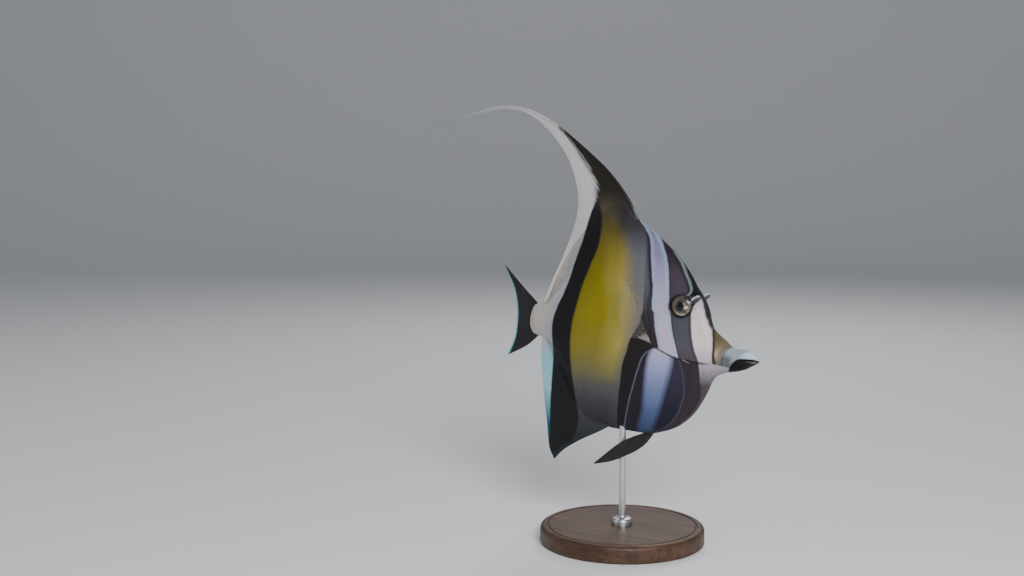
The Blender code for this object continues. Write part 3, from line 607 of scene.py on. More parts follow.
def eye_bar_colours(n, back, up, colour):
    """The dark bar through the eye and the pale line of the forehead."""
    rear = n.curve(up, CHEEK_REAR)
    bar = n.ramp(n.span(up, -6.0, 60.0), [(0.0, (0.09, 0.068, 0.08)), (0.16, (0.095, 0.09, 0.11)),
                                          (0.36, (0.078, 0.083, 0.108)),
                                          (0.55, (0.076, 0.054, 0.08)),
                                          (0.78, (0.062, 0.046, 0.066)),
                                          (1.0, (0.012, 0.01, 0.02))])
    colour = n.mix(n.past(back, rear, 0.9), colour, bar)
    colour = n.mix(n.both(n.line(back, rear, 1.6, 0.6), 0.6), colour, (0.04, 0.03, 0.042))
    colour = n.mix(n.both(n.past(up, 31.8, 0.8), n.past(46.0, back, 4.0)), colour, bar)

    line = n.curve(up, FOREHEAD_LINE)
    above = n.past(up, 32.4, 0.8)
    colour = n.mix(n.both(above, n.past(line, back, 0.8)), colour, (0.009, 0.008, 0.011))
    colour = n.mix(n.both(above, n.line(back, line, 3.0, 0.4)), colour, (0.018, 0.014, 0.02))
    colour = n.mix(n.both(n.both(above, n.past(56.0, up, 3.0)), n.line(back, line, 1.3)), colour,
                   MINT)
    colour = n.mix(n.stroke(back, up, (38.4, 33.4), (41.2, 32.2), 0.5), colour, MINT)
    # Painted highlight: a pale green stroke along the brow, from the eye towards the horn, where the
    # light catches it.
    colour = n.mix(n.stroke(back, up, (40.5, 29.3), (35.6, 30.3), 0.65), colour, MINT)
    # Painted shade: thin pinkish-brown lines where the skin creases on the cheek in front of the
    # eye.
    for first, last in (((35.2, 26.2), (32.2, 26.0)), ((34.2, 27.6), (32.6, 28.0)),
                        ((36.0, 21.6), (34.2, 20.8))):
        crease_shade = n.both(n.stroke(back, up, first, last, 0.12, 0.5), 0.45)
        colour = n.mix(crease_shade, colour, (0.3, 0.2, 0.2))
    # Painted shade: the nostrils are darkened as hollows in shade.
    for hole_back, hole_up, size in NOSTRILS:
        hole = n.stroke(back, up, (hole_back, hole_up), (hole_back, hole_up), size, 0.4)
        colour = n.mix(n.both(hole, 0.8), colour, (0.2, 0.13, 0.14))
    return colour


def stripe_colours(n, back, up, colour, cloud):
    """The pale stripe behind the eye and the narrow dark bar after it."""
    front = n.curve(up, STRIPE_FRONT)
    rear = n.curve(up, STRIPE_REAR)
    stripe = n.ramp(n.span(up, -4.0, 72.0), [(0.0, (0.62, 0.57, 0.71)), (0.3, (0.6, 0.56, 0.7)),
                                             (0.65, (0.37, 0.365, 0.59)), (1.0, (0.05, 0.08, 0.17))])
    stripe = n.mix(n.both(n.past(cloud, 0.5, 0.25), 0.3), stripe, (0.52, 0.36, 0.45))
    pale = n.mix(n.past(up, 52.0, 30.0), (0.46, 0.53, 0.7), (0.26, 0.34, 0.48))
    stripe = n.mix(n.line(back, front, 2.4, 0.8), stripe, pale)
    stripe = n.mix(n.line(back, rear, 2.0, -0.8), stripe, pale)
    colour = n.mix(n.past(back, front, 0.8), colour, stripe)
    colour = n.mix(n.both(n.line(back, front, 1.0, -0.6), 0.6), colour, (0.035, 0.03, 0.045))
    dark = n.mix(n.line(back, rear, 3.4, 0.6), (0.1, 0.12, 0.165), (0.035, 0.026, 0.034))
    low = n.ramp(n.span(up, 0.0, 40.0), [(0.0, (0.03, 0.022, 0.025)), (1.0, (0.055, 0.05, 0.065))])
    dark = n.mix(n.past(up, 30.0, 16.0), low, dark)
    return n.mix(n.past(back, rear, 0.8), colour, dark)


def breast_colours(n, back, up, colour):
    """Throat, breast and belly below the gill line, with the pale-edged oval."""
    bar_edge = n.curve(up, CHEEK_REAR)
    throat = n.mix(n.past(up, -11.0, 14.0), (0.085, 0.068, 0.076), (0.54, 0.49, 0.55))
    breast = n.mix(n.past(back, bar_edge, 1.0), throat, (0.044, 0.031, 0.042))
    breast = n.mix(n.both(n.line(back, bar_edge, 1.5, 0.5), 0.5), breast, (0.035, 0.026, 0.03))
    breast = n.mix(n.past(up, n.curve(back, CHIN_LINE), 1.0), DARK_CHIN, breast)
    front = n.curve(up, BREAST_LINE_FRONT)
    rear = n.curve(up, BREAST_LINE_REAR)
    band_front = n.curve(up, BREAST_BAND_FRONT)
    band_rear = n.curve(up, BREAST_BAND_REAR)
    inside = n.mix(n.past(up, -24.0, 22.0), (0.018, 0.018, 0.032), (0.038, 0.032, 0.06))
    inside = n.mix(n.past(back, band_front, 6.0), inside, (0.024, 0.02, 0.03))
    breast = n.mix(n.past(back, front, 0.8), breast, inside)
    band = n.ramp(n.span(up, -50.0, 2.0), [(0.0, (0.05, 0.07, 0.14)), (0.3, (0.09, 0.13, 0.28)),
                                           (0.65, (0.24, 0.28, 0.53)), (0.85, (0.4, 0.42, 0.68)),
                                           (1.0, (0.54, 0.52, 0.7))])
    breast = n.mix(n.both(n.past(back, band_front, 4.0), n.past(band_rear, back, 3.4)), breast, band)
    breast = n.mix(n.line(back, front, 0.9), breast, (0.062, 0.074, 0.1))
    behind = n.mix(n.past(up, -10.0, 20.0), (0.016, 0.013, 0.017), (0.022, 0.015, 0.017))
    breast = n.mix(n.past(back, rear, 0.8), breast, behind)
    breast = n.mix(n.line(back, rear, 1.0), breast, (0.12, 0.142, 0.18))
    gill = n.curve(back, GILL_LINE)
    colour = n.mix(n.past(gill, up, 0.9), colour, breast)
    shadow = n.both(n.line(up, gill, 1.3, -0.5), n.past(back, 27.0, 5.0))
    shadow = n.both(shadow, n.past(59.0, back, 2.0))
    colour = n.mix(n.both(shadow, 0.85), colour, (0.02, 0.014, 0.017))
    # Painted highlight: a short pale stroke just below the gill line.
    gill_highlight = n.stroke(back, up, (40.6, -3.2), (37.2, -4.6), 0.2, 0.5)
    return n.mix(n.both(gill_highlight, 0.7), colour, (0.42, 0.38, 0.4))


def flank_colours(n, back, up, colour):
    """The yellow flank with its pale front and brown crest, turning dark grey towards the belly as
    painted shade.
    """
    # Both ramps darken towards the belly and the anal fin: painted shade, where the light falls off
    # down the fish.
    yellow = n.ramp(n.span(up, -60.0, 84.0), [
        (0.0, (0.015, 0.019, 0.022)), (0.125, (0.042, 0.043, 0.05)),
        (0.2, (0.066, 0.068, 0.078)), (0.26, (0.115, 0.108, 0.1)), (0.31, (0.18, 0.165, 0.07)),
        (0.42, (0.275, 0.23, 0.026)), (0.55, (0.3, 0.248, 0.009)), (0.72, (0.245, 0.2, 0.006)),
        (0.86, (0.13, 0.106, 0.013)), (0.94, (0.07, 0.061, 0.028)), (1.0, (0.042, 0.037, 0.024))])
    pale = n.ramp(n.span(up, -50.0, 80.0), [
        (0.0, (0.045, 0.048, 0.06)), (0.2, (0.1, 0.096, 0.13)), (0.4, (0.2, 0.18, 0.15)),
        (0.6, (0.22, 0.21, 0.19)), (0.8, (0.145, 0.152, 0.185)), (0.92, (0.048, 0.046, 0.054)),
        (1.0, (0.026, 0.023, 0.023))])
    deep = n.both(n.past(back, n.math('ADD', n.curve(up, REAR_BAR_FRONT), -5.0), 12.0),
                  n.both(n.past(54.0, up, 20.0), n.past(up, -8.0, 20.0)))
    yellow = n.mix(n.both(deep, 0.6), yellow, (0.19, 0.158, 0.005))
    light = n.both(n.past(n.curve(up, PALE_REAR), n.math('ADD', back, -11.0), 15.0),
                   n.both(n.past(52.0, up, 30.0), n.past(up, -8.0, 24.0)))
    yellow = n.mix(n.both(light, 0.8), yellow, (0.48, 0.385, 0.1))
    flank = n.mix(n.past(back, n.curve(up, PALE_REAR), 9.0), pale, yellow)
    colour = n.mix(n.past(back, n.curve(up, BAR_REAR), 0.9), colour, flank)
    crest = n.past(up, n.curve(back, [(70.0, 79.5), (84.0, 86.5), (96.0, 85.5), (140.0, 61.5)]),
                   9.0)
    return n.mix(n.both(crest, n.past(back, 60.0, 4.0)), colour, (0.014, 0.0115, 0.008))


def rear_colours(n, back, up, colour):
    """The black bar at the rear and the white behind it, up into the streamer."""
    high = n.past(up, 84.0, 8.0)
    across = n.math('MULTIPLY_ADD', back, 0.76, n.math('MULTIPLY', up, -0.65))
    along = n.math('MULTIPLY_ADD', back, 0.65, n.math('MULTIPLY', up, 0.76))
    streaks = n.add("ShaderNodeCombineXYZ")
    n.put(streaks.inputs[0], n.math('MULTIPLY', across, 1.3))
    n.put(streaks.inputs[1], n.math('MULTIPLY', along, 0.07))
    fringe = n.both(n.math('SUBTRACT', n.noise(streaks.outputs[0], 1.0, 2.0), 0.5), high)
    black = n.both(n.past(back, n.curve(up, REAR_BAR_FRONT), 1.6),
                   n.math('MULTIPLY_ADD', high, -1.0, 1.0))
    colour = n.mix(black, colour, (0.007, 0.007, 0.008))
    edge = n.curve(up, REAR_BAR_REAR)
    gap = n.math('MULTIPLY_ADD', fringe, 9.0, n.math('SUBTRACT', back, edge))
    white = n.mix(n.past(gap, 4.0, 7.0), (0.42, 0.46, 0.54), (0.6, 0.55, 0.52))
    white = n.mix(n.both(n.past(gap, 1.0, 3.0), n.past(55.0, up, 24.0)), (0.46, 0.45, 0.465), white)
    white = n.mix(n.past(up, -4.0, 16.0), (0.28, 0.55, 0.66), white)
    # Near black low down, over the anal fin: painted shade where the light falls off.
    white = n.mix(n.past(up, -40.0, 22.0), (0.01, 0.09, 0.14), white)
    white = n.mix(n.past(back, 175.0, 60.0), white, (0.28, 0.3, 0.33))
    share = n.math('ADD', n.math('DIVIDE', gap, n.math('MULTIPLY_ADD', high, 2.5, 1.0)), 0.5,
                   clamp=True)
    return n.mix(share, colour, white)


def new_material(name, **constants):
    """An empty Principled material, with constants set on the shader's own sockets."""
    made = bpy.data.materials.new(name)
    made.use_nodes = True
    shader = made.node_tree.nodes["Principled BSDF"]
    for socket, value in constants.items():
        shader.inputs[socket.replace("_", " ")].default_value = value
    return made, Nodes(made.node_tree), shader


def bump(n, shader, height, depth_mm):
    """Bump a surface by a height from 0 to 1 that stands for a depth in millimetres."""
    node = n.add("ShaderNodeBump")
    node.inputs["Distance"].default_value = depth_mm * MM
    n.put(node.inputs["Height"], height)
    n.put(shader.inputs["Normal"], node.outputs[0])


def marked_material(name, markings, rough=(0.34, 0.5), depth=0.05, grain=1500.0):
    """Skin, scale or fin with the fish's markings."""
    made, n, shader = new_material(name, Coat_Weight=0.04, Coat_Roughness=0.3,
                                   Specular_IOR_Level=0.18)
    group = n.add("ShaderNodeGroup", node_tree=markings)
    where = n.add("ShaderNodeTexCoord").outputs["Object"]
    n.put(shader.inputs["Base Color"], group.outputs["Color"])
    n.put(shader.inputs["Roughness"], n.span(n.noise(where, 400.0), 0.3, 0.7, *rough))
    bump(n, shader, n.noise(where, grain, 2.0), depth)
    return made


def make_skin(markings):
    """One skin over the snout, jaw, head, gill covers, trunk and tail stem."""
    back = stations(SKIN_STATIONS)[:, None]
    height = np.cos(np.linspace(0, math.pi, SKIN_SIDE + 1))
    spots = skin_at(back, height[None])
    right = place(spots[:, :-1, 0], spots[:, :-1, 1], -spots[:, :-1, 2])
    left = place(spots[:, :0:-1, 0], spots[:, :0:-1, 1], spots[:, :0:-1, 2])
    mesh = closed_tube("skin", np.concatenate((right, left), axis=1))
    finish = marked_material("skin", markings)
    nodes = ("snout", "lower_jaw", "head", "gill_cover_right", "gill_cover_left", "trunk",
             "tail_stem")
    skin = add_piece("skin", mesh, nodes, finish)
    open_mouth(skin)
    return skin


def open_mouth(skin):
    """Cut the narrow gape between the lips."""
    line = smooth_curve(MOUTH_LINE)(np.linspace(0, 1, 14))
    drop = MOUTH_OPEN * np.clip(1 - np.maximum(line[:, 0], 0) / 8.0, 0.03, 1)
    outline = np.concatenate((line, np.stack((line[:, 0], line[:, 1] - drop), -1)[::-1]))
    count = len(outline)
    points = np.concatenate([np.stack(((LIP_X - outline[:, 0]) * MM,
                                       np.full(count, side * 0.02),
                                       (LIP_Z + outline[:, 1]) * MM), -1) for side in (-1, 1)])
    faces = [tuple(range(count)), tuple(range(count, 2 * count))]
    faces += [(i, (i + 1) % count, count + (i + 1) % count, count + i) for i in range(count)]
    mesh = bpy.data.meshes.new("gape")
    mesh.from_pydata(points.tolist(), [], faces)
    finish_shape(bmesh_of(mesh), mesh)
    cutter = bpy.data.objects.new("gape", mesh)
    bpy.context.scene.collection.objects.link(cutter)
    step = skin.modifiers.new("gape", 'BOOLEAN')
    step.solver = 'EXACT'
    step.operation = 'DIFFERENCE'
    step.object = cutter
    graph = bpy.context.evaluated_depsgraph_get()
    cut = bpy.data.meshes.new_from_object(skin.evaluated_get(graph))
    skin.modifiers.clear()
    skin.data = cut
    bpy.data.objects.remove(cutter)


def fan(root, lead, margin, trail, columns, rows, hold=3.0):
    """A fin's side view as a grid: rays run from the root line to the margin."""
    t = np.linspace(0, 1, columns)[:, None, None]
    v = np.linspace(0, 1, rows)[None, :, None]
    root_line = root(t[:, 0, 0])[:, None]
    margin_line = margin(t[:, 0, 0])[:, None]
    lead_line = lead(v[0, :, 0])[None]
    trail_line = trail(v[0, :, 0])[None]
    grid = root_line * (1 - v) + margin_line * v
    grid = grid + (1 - t) ** hold * (lead_line - lead(0) * (1 - v) - lead(1) * v)
    return grid + t ** hold * (trail_line - trail(0) * (1 - v) - trail(1) * v)


def ray_relief(columns, rows, rays, branch=0.55):
    """Height of a fin's rays, 0 in the membrane and 1 on a ray, branching near the margin."""
    t = np.linspace(0, 1, columns)[:, None]
    v = np.linspace(0, 1, rows)[None, :]

    def comb(count, width):
        place_in = (t * count) % 1.0
        return np.exp(-((place_in - 0.5) / width) ** 2)

    split = ease(branch, branch + 0.25, v)
    return comb(rays, 0.17) * (1 - split) + comb(2 * rays, 0.2) * split


def fin_half(grid, thin):
    """Half a fin's thickness, swelling to meet the flank so that the two flow together."""
    away = np.hypot(grid[..., 0] - grid[:, :1, 0], grid[..., 1] - grid[:, :1, 1])
    base = flank(grid[:, :1, 0], grid[:, :1, 1]) - 2 * COAT_DEPTH
    return thin + (base - thin) * np.exp(-away / 3.4)


def sheet_piece(name, grid, out, half, replaced, finish, rays=None):
    """A thin closed fin over a side-view grid, with half its thickness at every point."""
    columns, rows, _ = grid.shape
    near = place(grid[..., 0], grid[..., 1], out - half)
    far = place(grid[..., 0], grid[..., 1], out + half)
    points = np.concatenate((near.reshape(-1, 3), far.reshape(-1, 3)))
    i, j = np.meshgrid(np.arange(columns - 1), np.arange(rows - 1), indexing="ij")
    a = i * rows + j
    quad = np.stack((a, a + rows, a + rows + 1, a + 1), -1).reshape(-1, 4)
    size = columns * rows
    rim = [(0, j) for j in range(rows - 1)] + [(i, rows - 1) for i in range(columns - 1)]
    rim += [(columns - 1, j) for j in range(rows - 1, 0, -1)]
    rim += [(i, 0) for i in range(columns - 1, 0, -1)]
    r = np.array([i * rows + j for i, j in rim])
    s = np.roll(r, -1)
    wall = np.stack((r, s, s + size, r + size), -1)
    faces = np.concatenate((quad, quad[:, ::-1] + size, wall))
    mesh = mesh_from(name, points, faces)
    if rays is not None:
        t = np.repeat(np.linspace(0, rays, columns), rows)
        v = np.tile(np.linspace(0, 1, rows), columns)
        uv = np.stack((np.tile(t, 2), np.tile(v, 2)), -1)
        layer = mesh.uv_layers.new(name="rays")
        index = np.empty(len(mesh.loops), dtype=np.int32)
        mesh.loops.foreach_get("vertex_index", index)
        layer.data.foreach_set("uv", uv[index].astype(np.float32).ravel())
    finish_shape(bmesh_of(mesh), mesh)
    return add_piece(name, mesh, replaced, finish)


def edge_root(edge, first, last, lift):
    """A fin's root line, just inside the body's edge."""
    def value(t):
        back = first + (last - first) * np.asarray(t, float)
        return np.stack((back, edge(back) + lift), -1)

    return value


def make_dorsal(finish):
    """The tall dorsal fin, its strong front spine and its long streamer."""
    rays = 42
    columns, rows = rays * 8 + 1, 60
    root = edge_root(top_edge, DORSAL_FROM, DORSAL_TO, -4.0)
    trail = smooth_curve([tuple(root(1.0)), DORSAL_REAR[-1]])
    grid = fan(root, smooth_curve([tuple(root(0.0))] + DORSAL_LEAD), smooth_curve(DORSAL_REAR),
               trail, columns, rows)
    v = np.linspace(0, 1, rows)[None, :]
    t = np.linspace(0, 1, columns)[:, None]
    half = fin_half(grid, 0.16) + 0.1 * ray_relief(columns, rows, rays, 0.5)
    half = half * (0.35 + 0.65 * ease(1.0, 0.97, v)) * (0.5 + 0.5 * ease(0.0, 0.01, t))
    sway = 0.35 * v * np.sin(t * 9.0 + v * 2.0)
    sheet_piece("dorsal_fin_skin", grid, sway, half, ("dorsal_fin",), finish, rays)

    t = np.linspace(0, 1, 260)
    outer = smooth_curve(STREAMER_OUTER)(t)
    inner = smooth_curve(STREAMER_INNER)(t)
    v = np.linspace(0, 1, 13)[None, :, None]
    grid = outer[:, None] * (1 - v) + inner[:, None] * v
    fade = 1 - 0.45 * t[:, None]
    half = (0.2 + 0.18 * np.exp(-((v[..., 0] - 0.12) / 0.12) ** 2)) * fade
    half = half * (0.35 + 0.65 * ease(0.0, 0.08, v[..., 0]) * ease(1.0, 0.9, v[..., 0]))
    half = half * (0.4 + 0.6 * ease(0.0, 0.05, t))[:, None]
    sheet_piece("dorsal_streamer", grid, 0.0, half,
                ("dorsal_streamer_front", "dorsal_streamer_end"), finish)

    path = smooth_curve([(72.9, 71.6)] + DORSAL_LEAD + STREAMER_OUTER[2:])(np.linspace(0, 1, 240))
    thick = 0.75 * (1 - np.linspace(0, 1, 240)) ** 0.8 + 0.22
    round_tube("dorsal_front_spine", path + np.array((0.25, -0.25)), thick, 0.0, finish)


def round_tube(name, path, radius, out, finish, sides=10):
    """A tapered round tube along a side-view path."""
    ahead = np.gradient(path, axis=0)
    ahead = ahead / np.linalg.norm(ahead, axis=1)[:, None]
    across = np.stack((-ahead[:, 1], ahead[:, 0]), -1)
    angle = np.linspace(0, 2 * math.pi, sides, endpoint=False)
    radius = np.broadcast_to(radius, len(path))
    wide = np.cos(angle)[None, :] * radius[:, None]
    deep = np.sin(angle)[None, :] * radius[:, None]
    rings = place(path[:, None, 0] + across[:, None, 0] * wide,
                  path[:, None, 1] + across[:, None, 1] * wide,
                  np.broadcast_to(out, len(path))[:, None] + deep)
    return add_piece(name, closed_tube(name, rings), (), finish)


def make_anal(finish):
    """The anal fin, with its pointed front lobe."""
    rays = 34
    columns, rows = rays * 8 + 1, 56
    root = edge_root(low_edge, ANAL_FROM, ANAL_TO, 4.0)
    trail = smooth_curve([tuple(root(1.0)), ANAL_REAR[-1]])
    grid = fan(root, smooth_curve([tuple(root(0.0))] + ANAL_LEAD[1:]), smooth_curve(ANAL_REAR),
               trail, columns, rows, 2.0)
    v = np.linspace(0, 1, rows)[None, :]
    t = np.linspace(0, 1, columns)[:, None]
    half = fin_half(grid, 0.16) + 0.1 * ray_relief(columns, rows, rays, 0.5)
    half = half * (0.35 + 0.65 * ease(1.0, 0.97, v)) * (0.5 + 0.5 * ease(0.0, 0.01, t))
    sway = 0.3 * v * np.sin(t * 8.0 + 1.0)
    sheet_piece("anal_fin_skin", grid, sway, half, ("anal_fin",), finish, rays)


def make_caudal(finish):
    """The tail fin: a shallow fork of branching rays."""
    rays = 17
    columns, rows = rays * 14 + 1, 56
    inside = [(b - 2.6, u + (10.5 - u) * 0.12) for b, u in TAIL_ROOT]
    grid = fan(smooth_curve(inside), smooth_curve([inside[0]] + TAIL_TOP[1:]),
               smooth_curve(TAIL_REAR), smooth_curve([inside[-1]] + TAIL_BOTTOM[1:]),
               columns, rows)
    v = np.linspace(0, 1, rows)[None, :]
    t = np.linspace(0, 1, columns)[:, None]
    half = 0.16 + 0.9 * (1 - v) ** 3 + (0.12 + 0.2 * (1 - v)) * ray_relief(columns, rows, rays, 0.35)
    half = half * (0.35 + 0.65 * ease(1.0, 0.96, v))
    half = half * (0.55 + 0.45 * ease(0.0, 0.02, t) * ease(1.0, 0.98, t))
    sway = 0.4 * v * np.sin(t * 6.0)
    sheet_piece("caudal_fin_skin", grid, sway, half, ("caudal_fin",), finish, rays)


def make_pectorals(finish):
    """The clear pectoral fins, raised from the flanks."""
    rays = 18
    columns, rows = rays * 10 + 1, 40
    grid = fan(smooth_curve(PECTORAL_ROOT), smooth_curve(PECTORAL_LEAD),
               smooth_curve(PECTORAL_REAR), smooth_curve([PECTORAL_ROOT[1], PECTORAL_REAR[-1]]),
               columns, rows)
    v = np.linspace(0, 1, rows)[None, :]
    ridge = (0.06 + 0.08 * (1 - v)) * ease(0.05, 0.3, v) * ray_relief(columns, rows, rays)
    half = 0.06 + 0.4 * (1 - v) ** 3 + ridge
    run = np.hypot(grid[..., 0] - grid[:, :1, 0], grid[..., 1] - grid[:, :1, 1])
    root_out = flank(grid[:, :1, 0], grid[:, :1, 1]) + 0.55
    bow = PECTORAL_BOW * np.sin(np.linspace(0, math.pi, columns))[:, None]
    out = root_out + PECTORAL_LEAN * run + bow * v + 0.12 * np.sin(run * 0.3)
    for side, name in ((-1, "right"), (1, "left")):
        sheet_piece("pectoral_skin_" + name, grid, side * out, half,
                    ("pectoral_fin_" + name,), finish, rays)


def make_pelvics(finish):
    """The dark pelvic fins, folded back under the belly."""
    rays = 6
    columns, rows = rays * 10 + 1, 60
    grid = fan(smooth_curve(PELVIC_ROOT), smooth_curve(PELVIC_LEAD), smooth_curve(PELVIC_TIP),
               smooth_curve(PELVIC_REAR), columns, rows, 1.0)
    v = np.linspace(0, 1, rows)[None, :]
    grid[..., 1] += 1.6 * (1 - v) ** 4
    half = 0.12 + 0.5 * (1 - v) ** 2 + (0.1 + 0.25 * (1 - v)) * ray_relief(columns, rows, rays, 0.7)
    out = PELVIC_ROOT_OUT + (PELVIC_TIP_OUT - PELVIC_ROOT_OUT) * v ** 0.7
    out = out - 0.9 * (1 - v) ** 4
    for side, name in ((-1, "right"), (1, "left")):
        sheet_piece("pelvic_skin_" + name, grid, side * out, half,
                    ("pelvic_fin_" + name,), finish, rays)


def make_eyes(finish):
    """Eyes with a domed pupil, a gently sloping iris and a rolled rim."""
    profile = smooth_function([(0.0, 4.45), (1.2, 4.38), (2.2, 4.15), (2.8, 4.0), (3.6, 3.82),
                               (4.8, 3.4), (5.5, 2.85), (6.0, 2.1), (6.35, 0.8)])
    radius = np.concatenate((np.linspace(0.04, 6.35, 60), np.linspace(6.1, 0.1, 8)))
    lift = profile(radius)
    lift[60:] = -2.0
    angle = np.linspace(0, 2 * math.pi, 96, endpoint=False)
    for side, name in ((-1, "right"), (1, "left")):
        ring_back = EYE_CENTRE[0] + radius[:, None] * np.cos(angle)[None]
        ring_up = EYE_CENTRE[1] + radius[:, None] * np.sin(angle)[None]
        tilt = 0.1 * (ring_back - EYE_CENTRE[0]) - 0.05 * (ring_up - EYE_CENTRE[1])
        out = side * (EYE_OUT - 0.15 + lift[:, None] + tilt * ease(0, 3, lift)[:, None])
        rings = place(ring_back, ring_up, out)
        centre = place(*EYE_CENTRE, side * EYE_OUT)
        mesh = closed_tube("eyeball_" + name, rings - centre)
        eye = add_piece("eyeball_" + name, mesh, ("eye_" + name,), finish)
        eye.location = centre


def eye_material():
    """A dark oval pupil in a brown and olive iris, pale along its lower edge, dark rimmed."""
    made, n, shader = new_material("eye", Coat_Weight=0.3, Coat_Roughness=0.04, Roughness=0.3,
                                   Specular_IOR_Level=0.3)
    where = n.add("ShaderNodeTexCoord").outputs["Object"]
    split = n.add("ShaderNodeSeparateXYZ")
    n.put(split.inputs[0], where)
    x = n.math('MULTIPLY', split.outputs[0], 1000.0)
    z = n.math('MULTIPLY', split.outputs[2], 1000.0)
    radius = n.math('SQRT', n.math('ADD', n.both(x, x), n.both(z, z)))
    wide = n.math('DIVIDE', n.math('ADD', x, 0.4), 2.15)
    tall = n.math('DIVIDE', n.math('ADD', z, 0.25), 2.7)
    pupil = n.math('SQRT', n.math('ADD', n.both(wide, wide), n.both(tall, tall)))
    spin = n.add("ShaderNodeCombineXYZ")
    n.put(spin.inputs[0], n.math('DIVIDE', x, radius))
    n.put(spin.inputs[1], n.math('DIVIDE', z, radius))
    n.put(spin.inputs[2], n.both(radius, 0.12))
    spokes = n.noise(spin.outputs[0], 9.0, 5.0, 0.65)
    iris = n.ramp(n.span(radius, 2.0, 6.0), [
        (0.0, (0.03, 0.016, 0.013)), (0.25, (0.055, 0.038, 0.028)), (0.5, (0.1, 0.078, 0.05)),
        (0.8, (0.18, 0.152, 0.095)), (0.92, (0.12, 0.1, 0.07)), (0.96, (0.014, 0.012, 0.013)),
        (1.0, (0.006, 0.006, 0.007))])
    iris = n.mix(n.both(n.past(x, 2.6, 3.6), 0.6), iris, (0.04, 0.032, 0.03))
    iris = n.mix(n.both(n.past(spokes, 0.56, 0.22), 0.5), iris, (0.06, 0.045, 0.034))
    # Painted shade: the upper iris, and more strongly its upper front corner, are darkened where the
    # brow shades the eye.
    upper = n.both(n.past(z, 1.9, 2.6), n.past(5.6, radius, 0.5))
    iris = n.mix(n.both(upper, 0.8), iris, (0.036, 0.037, 0.036))
    iris = n.mix(n.both(n.past(-2.6, x, 2.4), 0.35), iris, (0.05, 0.046, 0.055))
    iris = n.mix(n.both(n.stroke(x, z, (2.0, 4.6), (4.6, 3.4), 0.6, 1.0), 0.9), iris,
                 (0.01, 0.009, 0.01))
    iris = n.mix(n.both(n.stroke(x, z, (1.6, -3.0), (2.9, -2.7), 0.45, 0.8), 0.85), iris,
                 (0.035, 0.016, 0.015))
    x = n.math('MULTIPLY_ADD', n.noise(where, 1000.0, 3.0), 2.0, n.math('ADD', x, -1.0))
    z = n.math('MULTIPLY_ADD', n.noise(where, 830.0, 3.0), 2.0, n.math('ADD', z, -1.0))
    # Painted reflection and highlight: the three pink strokes in front of the pupil are a painted
    # reflection of the light, and the pale green stroke above them is a painted highlight that runs
    # on from the brow.
    for first, last, half, soft, colour in (
            ((2.1, 1.3), (3.6, -0.6), 0.2, 1.2, (0.4, 0.25, 0.22)),
            ((2.8, -0.7), (3.7, -0.5), 0.35, 1.2, (0.85, 0.64, 0.6)),
            ((2.6, -1.3), (3.3, -1.4), 0.3, 1.0, (0.6, 0.42, 0.38)),
            ((3.9, -2.9), (4.7, -2.7), 0.15, 0.9, (0.3, 0.27, 0.32)),
            ((3.4, 2.3), (5.8, 2.1), 0.1, 0.9, (0.36, 0.41, 0.41)),
            ((-4.3, -2.1), (-3.2, -3.5), 0.1, 0.8, (0.34, 0.3, 0.2)),
            ((-3.2, -3.5), (-1.5, -4.6), 0.15, 0.8, (0.55, 0.48, 0.38)),
            ((-1.5, -4.6), (0.6, -5.0), 0.2, 0.7, (0.74, 0.68, 0.6)),
            ((0.6, -5.0), (2.4, -4.7), 0.15, 0.7, (0.66, 0.62, 0.6))):
        iris = n.mix(n.both(n.stroke(x, z, first, last, half, soft), 0.9), iris, colour)
    colour = n.mix(n.past(pupil, 1.0, 0.1), (0.001, 0.001, 0.002), iris)
    n.put(shader.inputs["Base Color"], colour)
    bump(n, shader, spokes, 0.03)
    return made


def make_horns(finish):
    """The short blunt horn in front of each eye."""
    for side, name in ((-1, "right"), (1, "left")):
        start = np.array(HORN_ROOT) * (1, 1, side)
        end = np.array(HORN_TIP) * (1, 1, side)
        along = (end - start) / np.linalg.norm(end - start)
        across = np.cross(along, (0.0, 0.0, 1.0))
        across = across / np.linalg.norm(across)
        other = np.cross(along, across)
        t = np.linspace(0, 1.09, 60)
        radius = HORN_ROOT_RADIUS + (HORN_TIP_RADIUS - HORN_ROOT_RADIUS) * t ** 0.8
        radius = radius * (1 + 0.02 * np.sin(24 * t) * ease(0.15, 0.4, t))
        over = np.clip((t - 0.86) / 0.23, 0, 0.985)
        radius = radius * (1 - over ** 2.2) ** 0.5
        angle = np.linspace(0, 2 * math.pi, 36, endpoint=False)
        ring = (np.cos(angle)[:, None] * across + np.sin(angle)[:, None] * other)
        spots = start + (end - start) * t[:, None, None] + ring[None] * radius[:, None, None]
        rings = place(spots[..., 0], spots[..., 1], spots[..., 2])
        add_piece("brow_horn_" + name, closed_tube("brow_horn_" + name, rings),
                  ("horn_" + name,), finish)


# Scales: rows across the body, each row a little behind the last and staggered.
SCALE_LENGTH = [(4.0, 0.4), (20.0, 0.48), (36.0, 0.56), (60.0, 0.76), (120.0, 0.82),
                (148.0, 0.6)]
SCALE_STEP = 0.86
SCALE_LAP = 1.6
SCALE_WIDE = 1.12
SCALE_CLOSE = 0.9
SCALE_ROWS = [(0.0, 0.0), (0.5, 1.4), (0.25, 2.2), (0.75, 2.2)]
SCALE_RIM = [(0.0, -0.34), (0.45, -0.5), (0.82, -0.36), (1.0, 0.0), (0.82, 0.36),
             (0.45, 0.5), (0.0, 0.34)]
SCALE_MIDDLE = 0.6
SCALE_ROOT_LIFT = 0.012
SCALE_TIP_LIFT = 0.075
SCALE_BODY = 0.016
FIRST_ROW = 1.6
UNWRAP_LENGTH = 150.0
UNWRAP_HALF_GIRTH = 84.0
PATCH = 0.003


